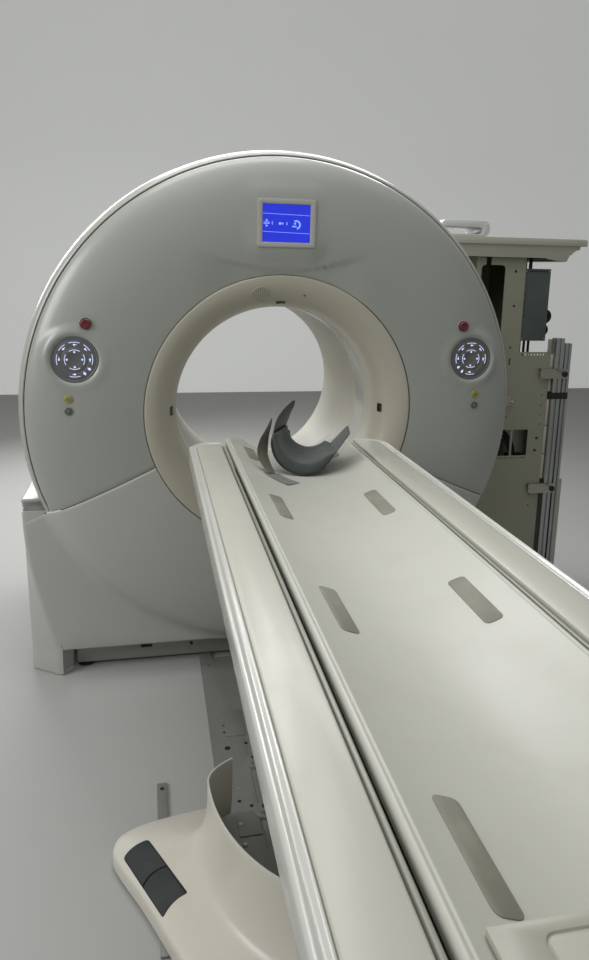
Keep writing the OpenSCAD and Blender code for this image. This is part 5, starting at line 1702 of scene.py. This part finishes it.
# %% Pockets in the base cover
pocket_gap = 0.0022
pocket_bow = 0.010
pocket_corner = 0.007
pocket_end = pedal_long + pocket_gap
pocket_loop = pad_loop(-pocket_end, pocket_end, pedal_half + 0.0012, pocket_bow, pocket_bow,
                       (pocket_corner, pocket_corner))
tray_stages = [(0.004, -0.018), (0, -0.018), (0, 0.002), (-0.0015, 0.002), (-0.0015, -0.021), (0.004, -0.021)]
for side, name in both_names:
    cutter = lay_pad("pocket_cutter", side, pocket_loop, [(0, -0.030), (0, 0.060)])
    cut = base_cover.modifiers.new("pocket", "BOOLEAN")
    cut.operation = "DIFFERENCE"
    cut.solver = "EXACT"
    cut.object = cutter
    plain(base_cover)
    bpy.data.objects.remove(cutter)
    tray = lay_pad("pedal_tray_" + name, side, pocket_loop, tray_stages)
    fit(tray, "gantry", base_finish, (), 40)
fit(base_cover, "gantry", base_finish, ("table_base_cover",), 40)
print("base cover with its pockets:", count_triangles(base_cover), "triangles")

# %% Pedals
groove = 0.0011
pad_end = pedal_long + 0.001
end_bow = 0.010
groove_bow = 0.012
pad_corner = 0.006
pad_stages = [(0.002, 0.0), (0, 0.0015), (0, pedal_top - 0.003), (0.0006, pedal_top - 0.0012),
              (0.0020, pedal_top)]
for side, name in both_names:
    for kind in ("raise", "lower"):
        if kind == "raise":
            shape = (-pad_end, -groove, pedal_half - 0.0004, end_bow, groove_bow, (pad_corner, 0.0))
        else:
            shape = (groove, pad_end, pedal_half - 0.0004, groove_bow, end_bow, (0.0, pad_corner))
        pad = lay_pad(f"{name}_{kind}_pad", side, pad_loop(*shape), pad_stages)
        fit(pad, f"{name}_{kind}", pedal_finish, (f"{name}_{kind}_pedal",), 50)
        print(pad.name, count_triangles(pad), "triangles")

# %% [markdown]
# ## Head holder
#
# A foam cup on the cradle's head end keeps the patient's head still. It tapers towards the
# gantry and lies a little askew, as it was left. A thin dark shell runs round it, stands up as a
# pointed flap at the left and as a narrow wing at the right. Foam and shell are drawn straight,
# section by section along the depth, and every point is turned about the holder's middle.

# %% Foam cup
cup_radius = 0.106
cup_centre = 1.0245
cup_taper = 0.020
holder_front = -0.370
holder_middle = -0.275
holder_aside = 0.024
foam_long = 0.176
shell_long = 0.226
holder_turn = math.radians(-16)


def placed(x, y, z):
    """Turns a point of the straight holder about the upright line through its middle."""
    dy = y - holder_middle
    return (holder_aside + x * math.cos(holder_turn) - dy * math.sin(holder_turn),
            holder_middle + x * math.sin(holder_turn) + dy * math.cos(holder_turn), z)


def cup_size(depth):
    """Radius and centre height at a depth; the underside stays level on the cradle."""
    r = cup_radius - cup_taper * depth / foam_long
    return r, cup_centre - 0.45 * (cup_radius - r)


def foam_loop(depth, inset):
    r, zc = cup_size(depth)
    loop = []
    for i in range(31):
        t = math.radians(-104 + 176 * i / 30)
        loop.append(((r - inset) * math.sin(t), zc - (r - inset) * math.cos(t)))
    hollow = 0.098 - 0.024 * depth / foam_long + inset
    hx, hz = 0.007, zc + 0.030
    for i in range(27):
        t = math.radians(-42 - 137 * i / 26)
        loop.append((hx + hollow * math.cos(t), hz + hollow * math.sin(t)))
    return loop


depths = [(0.0, 0.0035), (0.0010, 0.0014), (0.0035, 0.0)]
depths += [(0.0035 + (foam_long - 0.007) * i / 8, 0.0) for i in range(1, 9)]
depths += [(foam_long - 0.0010, 0.0014), (foam_long, 0.0035)]
points = []
for depth, inset in depths:
    for x, z in foam_loop(depth, inset):
        lump = 0.0010 * math.sin(43 * x + 61 * depth) * math.sin(37 * z + 29 * depth)
        points.append(placed(x, holder_front + depth, z + lump))
faces = rows_to_faces(len(depths), len(points) // len(depths), closed=True, ends=True)
foam_cup = round_edges(piece("foam_cup", points, faces), 0.0042, 3, 42)
fit(foam_cup, "cradle_board", foam_finish, ("head_holder",), 55)
print("foam:", count_triangles(foam_cup), "triangles")

# %% Shell with its flap and wing
shell_wall = 0.0024
flap_line = ((-0.098, 0.124, 0.44), (-0.101, 0.112, 0.42), (-0.104, 0.097, 0.38), (-0.106, 0.078, 0.31),
             (-0.106, 0.058, 0.25), (-0.104, 0.038, 0.18))
wing_way = (0.082, 0.119)
wing_shares = (0.04, 0.15, 0.3, 0.45, 0.6, 0.75, 0.88, 0.95, 1.0)


def shell_path(depth):
    """The sheet's own line across the holder, from the flap's tip, under the foam, to the wing's tip."""
    r, zc = cup_size(min(depth, foam_long))
    r += 0.0008 - 0.42 * max(0.0, depth - foam_long)
    path = [(x + lean * depth, zc + h) for x, h, lean in flap_line]
    turns = [math.radians(t) for t in range(-100, 41, 5)]
    path += [(r * math.sin(t), zc - r * math.cos(t)) for t in turns]
    root = path[-1]
    tip = (root[0] + wing_way[0], root[1] + wing_way[1])
    path += [(root[0] + (tip[0] - root[0]) * s, root[1] + (tip[1] - root[1]) * s) for s in wing_shares]
    return path


def shell_reach(k, count):
    """Front and back depth of the sheet at a step along its line."""
    front, back = -0.004, shell_long
    if k < 8:
        rise = 1 - k / 8
        front += 0.118 * rise ** 1.6
        back -= 0.098 * rise ** 0.7
    elif k > count - 10:
        narrow = (k - count + 10) / 9
        front += 0.012 * narrow ** 2
        back -= 0.122 * narrow ** 0.6
    return front, back


across_steps = 10
path_steps = len(shell_path(0))
points = []
for k in range(path_steps):
    front, back = shell_reach(k, path_steps)
    for i in range(across_steps + 1):
        depth = front + (back - front) * i / across_steps
        x, z = shell_path(max(0.0, depth))[k]
        points.append(placed(x, holder_front + depth, z))
faces = rows_to_faces(path_steps, across_steps + 1)
holder_shell = thicken(piece("holder_shell", points, faces, turn_out=False), shell_wall, -1)
fit(holder_shell, "cradle_board", shell_finish, (), 45)
print("shell:", count_triangles(holder_shell), "triangles")

# %% [markdown]
# ## Straps of the head holder
#
# A brown strap leaves the shell at the left, bulges out in a loop and comes forward to the
# cradle, where its grey end lies as a flat band. Both are webbing about 2 mm thick, drawn as
# ribbons: a smooth line for the middle and a direction for the width, kept square to that line.

# %% Ribbons
def smooth_path(corners, steps=6):
    """A smooth curve through the corners, bent by each corner's neighbours."""
    ends = [corners[0]] + list(corners) + [corners[-1]]
    made = []
    for k in range(1, len(ends) - 2):
        p0, p1, p2, p3 = (Vector(ends[k + j]) for j in (-1, 0, 1, 2))
        for i in range(steps):
            t = i / steps
            made.append(0.5 * (2 * p1 + (p2 - p0) * t + (2 * p0 - 5 * p1 + 4 * p2 - p3) * t * t
                               + (3 * p1 - p0 - 3 * p2 + p3) * t ** 3))
    made.append(Vector(corners[-1]))
    return made


def ribbon(name, corners, wide, thick, finish, stands_for=()):
    """Webbing; each corner is a middle point and the direction of its width."""
    middle = smooth_path([place for place, way in corners])
    ways = smooth_path([way for place, way in corners])
    points = []
    for i, (p, w) in enumerate(zip(middle, ways)):
        along = (middle[min(i + 1, len(middle) - 1)] - middle[max(i - 1, 0)]).normalized()
        w = (w - along * w.dot(along)).normalized() * wide / 2
        points += [tuple(p + w * (j / 3 - 1)) for j in range(7)]
    band = piece(name, points, rows_to_faces(len(middle), 7), turn_out=False)
    thicken(band, thick, 0)
    fit(band, "cradle_board", finish, stands_for, 60)
    long = sum((middle[i + 1] - middle[i]).length for i in range(len(middle) - 1))
    print(name, round(long, 4), "m")
    return band, long


# %% Straps
def on_board(x, y, lift=0.0018):
    return (x, y, hollow_height(x) + lift)


loop_corners = [
    ((-0.096, -0.300, 1.094), (0.35, 0.9, 0.25)),
    ((-0.106, -0.306, 1.068), (0.55, 0.8, 0.35)),
    ((-0.123, -0.316, 1.026), (0.75, 0.6, 0.35)),
    ((-0.131, -0.332, 0.986), (0.85, 0.5, 0.15)),
    ((-0.121, -0.354, 0.954), (0.75, 0.65, -0.05)),
    ((-0.106, -0.380, hollow_height(0.106) + 0.0045), (0.45, 0.88, -0.08))]
loop_strap, long = ribbon("strap_loop", loop_corners, 0.040, 0.0020, strap_finish, ("head_strap",))
band_corners = [
    (on_board(-0.107, -0.372), (0.40, 0.91, -0.1)),
    (on_board(-0.094, -0.402), (0.40, 0.91, -0.1)),
    (on_board(-0.074, -0.434), (0.42, 0.91, -0.08)),
    (on_board(-0.050, -0.462), (0.30, 0.95, -0.06))]
band_strap, long = ribbon("strap_band", band_corners, 0.064, 0.0018, band_strap_finish)

# %% [markdown]
# ## The remaining nodes
#
# What is left is sheet metal, castings and small mechanics. On the real machine these are folded,
# welded or milled, so their outlines are right as they are. What makes them look real is a small
# broken edge on each fold and the right surface, so one loop softens the edges and gives each its
# paint, metal or rubber. The blue-grey panel keeps its cream flange by the height of its faces.

# %% Give every remaining node its surface
remaining = [
    ("floor_plates", plate_finish, "dark_steel", 0.0010),
    ("base_frame", beam_finish, "frame_paint", 0.0016),
    ("levelling_feet", black_rubber_and_hole_shade_finish, "foot_rubber", 0.0010),
    ("stator_frame", unit_finish, "frame_paint", 0.0012),
    ("bearing_outer", steel_finish, "dark_steel", 0.0008),
    ("motor_stator", copper_finish, "copper", 0.0008),
    ("service_column", sheet_finish, "frame_paint", 0.0),
    ("service_panel", sheet_finish, "frame_paint", 0.0),
    ("power_supply", supply_finish, "supply_blue", 0.0014),
    ("side_top_cover", side_cover_finish, "cream_shell", 0.0012),
    ("vent_duct", duct_finish, "duct_white", 0.0010),
    ("rail_profiles", profile_finish, "profile_alu", 0.0008),
    ("rail_brackets", bracket_finish, "profile_alu", 0.0),
    ("grey_side_panel", side_finish, "side_grey", 0.0),
    ("cable_harness", cable_finish, "cable_black", 0.0),
    ("rotor_drum", rotor_finish, "rotor_metal", 0.0012),
    ("bearing_inner", steel_finish, "dark_steel", 0.0008),
    ("xray_tube", rotor_finish, "rotor_metal", 0.0014),
    ("collimator", dark_unit_finish, "unit_dark", 0.0012),
    ("detector", dark_unit_finish, "unit_dark", 0.0008),
    ("hv_generator", unit_finish, "unit_grey", 0.0014),
    ("cooling_unit", rotor_finish, "rotor_metal", 0.0008),
    ("slip_ring", copper_finish, "copper", 0.0006),
    ("balance_weight", steel_finish, "dark_steel", 0.0010),
    ("table_base_plate", plate_finish, "dark_steel", 0.0012),
    ("column_outer", beam_finish, "column_metal", 0.0012),
    ("column_middle", column_finish, "column_metal", 0.0012),
    ("column_inner", column_finish, "column_metal", 0.0012),
    ("table_frame", beam_finish, "frame_paint", 0.0012),
    ("table_undercover", table_finish, "table_white", 0.0012),
    ("cradle_rollers", nylon_finish, "roller_nylon", 0.0008),
]
flange_low = 0.6165
for node, finish, slot, width in remaining:
    dress(node, body_of[node], finish, width)
flanged = bpy.data.objects["grey_side_panel_dressed"].data
flanged.materials.append(cream_finish)
for face in flanged.polygons:
    if face.center.z > flange_low:
        face.material_index = 1
print("nodes dressed:", len(remaining))

# %% [markdown]
# ## Strap round the spare profiles
#
# The two spare profiles are held by a webbing strap that passes round both of them. It is a flat
# band joined into a ring, so it is modelled as one loop of cloth with its own small thickness.

# %% Strap round the profiles
strap_low = 1.016
strap_high = 1.046
profile_left = 1.3317
profile_front = 0.3797
strap_corners = [(-0.0006, -0.0006), (0.0792, -0.0006), (0.0792, 0.0412), (-0.0006, 0.0412)]
corner_turn = 0.006
strap_line = []
for corner, (x, y) in enumerate(strap_corners):
    middle_x = profile_left + (x + (corner_turn if corner in (0, 3) else -corner_turn))
    middle_y = profile_front + (y + (corner_turn if corner in (0, 1) else -corner_turn))
    for step in range(4):
        turn = math.radians(180 + 90 * corner + 30 * step)
        strap_line.append((middle_x + corner_turn * math.cos(turn), middle_y + corner_turn * math.sin(turn)))
count = len(strap_line)
points = [(x, y, z) for z in (strap_low, strap_high) for x, y in strap_line]
profile_strap = thicken(piece("profile_strap", points, rows_to_faces(2, count, closed=True)), 0.0018, 1)
fit(profile_strap, "gantry", black_strap_finish, ("rail_strap",), 60)

# %% [markdown]
# ## Fittings of the service side
#
# Small fittings finish the service side: a spring latch on the panel, the round black knobs that
# clamp the profiles in their brackets, cream strips along the panel's flange, bolt heads, and a
# pale cover plate that shows behind the cut-out. Each is a softened block, a turned knob or a
# field of studs, since that is all the eye can tell at this size.

# %% Blocks and knobs
def block(name, low, high, finish, width=0.0012):
    corners = [(x, y, z) for z in (low[2], high[2]) for y in (low[1], high[1]) for x in (low[0], high[0])]
    sides = [(0, 1, 3, 2), (4, 6, 7, 5), (0, 4, 5, 1), (2, 3, 7, 6), (0, 2, 6, 4), (1, 5, 7, 3)]
    return fit(round_edges(piece(name, corners, sides), width), "gantry", finish)


def knob(name, x, z, radius, deep, back, finish):
    front = back - deep
    profile = [(0.0, back), (radius, back), (radius, front + 0.002), (radius - 0.002, front), (0.0, front)]
    return fit(turned_button(name, x, z, profile, 32), "gantry", finish, (), 30)


# %% Latch, knobs, flange strips and the plate behind the cut-out
panel_front = 0.396
bracket_front = 0.3775
flange_strips = ((0.632, 0.748), (0.752, 0.884), (0.888, 1.012), (1.050, 1.108), (1.160, 1.222))
block("latch_body", (1.082, 0.3800, 0.994), (1.128, panel_front, 1.014), bracket_finish, 0.003)
block("latch_plate", (1.076, 0.3935, 0.984), (1.136, panel_front, 1.024), bracket_finish,
      0.0008)
knob("latch_pin", 1.134, 1.004, 0.006, 0.020, panel_front, bolt_finish)
for name, x, z in (("knob_upper", 1.384, 1.132), ("knob_lower", 1.372, 0.586)):
    knob(name, x, z, 0.013, 0.009, bracket_front, black_rubber_and_hole_shade_finish)
for k, (low, high) in enumerate(flange_strips):
    strip_low, strip_high = (1.3170, 0.3965, low), (1.3305, 0.3990, high)
    block(f"flange_strip_{k}", strip_low, strip_high, table_finish, 0.0006)
block("plate_behind_cutout", (1.166, 0.478, 0.740), (1.262, 0.482, 0.890), side_cover_finish)

# %% Bolt heads of the service side
sideways = Vector((1, 0, 0))
inwards = Vector((0, 1, 0))
upwards = Vector((0, 0, 1))
bolt_high = 0.003
bolt_rows = (
    ("panel_bolts", (1.300, 0.3958, 1.150), studs(0.0045, bolt_high, 6, 1, 3, 0.01, 0.075)),
    ("column_bolts", (1.140, 0.3998, 1.400), studs(0.0050, bolt_high, 6, 1, 4, 0.01, 0.110)),
    ("supply_bolts", (1.224, 0.4078, 1.443), studs(0.0040, bolt_high, 6, 2, 2, 0.112, 0.300)))
for name, place, values in bolt_rows:
    stud_field(name, Vector(place), sideways, upwards, values, bolt_finish)
print("service side ready")

# %% [markdown]
# ## Fittings on the floor
#
# The plates on the floor carry the marks of what was bolted to them: bolt heads, open holes, a
# low bracket and a seam plate beside the column, and a flat bar that passes under the base cover.
# They are small, so each bolt and hole is one stud laid on the plate, six-sided and tall for a
# bolt, round, dark and very low for a hole. The dark of a hole's stud is painted shade, the
# shadow inside the open hole.

# %% Bar, bolts, holes and a bracket on the floor plates
plate_face = 0.0081
hole_high = 0.0004
mark_high = 0.0006
head_high = 0.006
block("floor_bar", (-0.487, -1.165, 0.0012), (-0.456, -0.585, 0.0070), plate_finish, 0.0006)
# The bar's hole is a near black stud: painted shade inside the hole.
stud_field("floor_bar_hole", Vector((-0.4715, -0.610, 0.0071)), sideways, inwards,
           studs(0.007, hole_high, 20), black_rubber_and_hole_shade_finish)
floor_bolts_and_holes = (
    (-0.280, 0.055, 0.006, "bolt"), (-0.260, -0.335, 0.008, "bolt"), (-0.256, -0.372, 0.005, "hole"),
    (-0.254, -0.456, 0.010, "hole"), (-0.212, -0.728, 0.006, "hole"), (-0.245, -0.704, 0.006, "hole"),
    (-0.253, -0.800, 0.009, "bolt"), (-0.250, -0.875, 0.008, "bolt"), (-0.190, -0.440, 0.006, "hole"),
    (0.260, -0.335, 0.008, "bolt"), (0.254, -0.456, 0.010, "hole"), (0.253, -0.800, 0.009, "bolt"))
for k, (x, y, radius, kind) in enumerate(floor_bolts_and_holes):
    place = Vector((x, y, plate_face))
    # A hole is a low near black stud, painted shade inside the open hole.
    if kind == "hole":
        values, finish, slot = studs(radius, mark_high, 20), black_rubber_and_hole_shade_finish, "foot_rubber"
    else:
        values, finish, slot = studs(radius, head_high, 6), bolt_finish, "dark_steel"
    stud_field(f"floor_mark_{k}", place, sideways, inwards, values, finish)
block("floor_bracket", (-0.262, -0.845, 0.0082), (-0.196, -0.752, 0.0125), plate_finish, 0.0015)
block("floor_seam_plate", (-0.252, -0.398, 0.0082), (-0.186, -0.250, 0.0100), plate_finish,
      0.0006)
print("floor marks:", len(floor_bolts_and_holes))
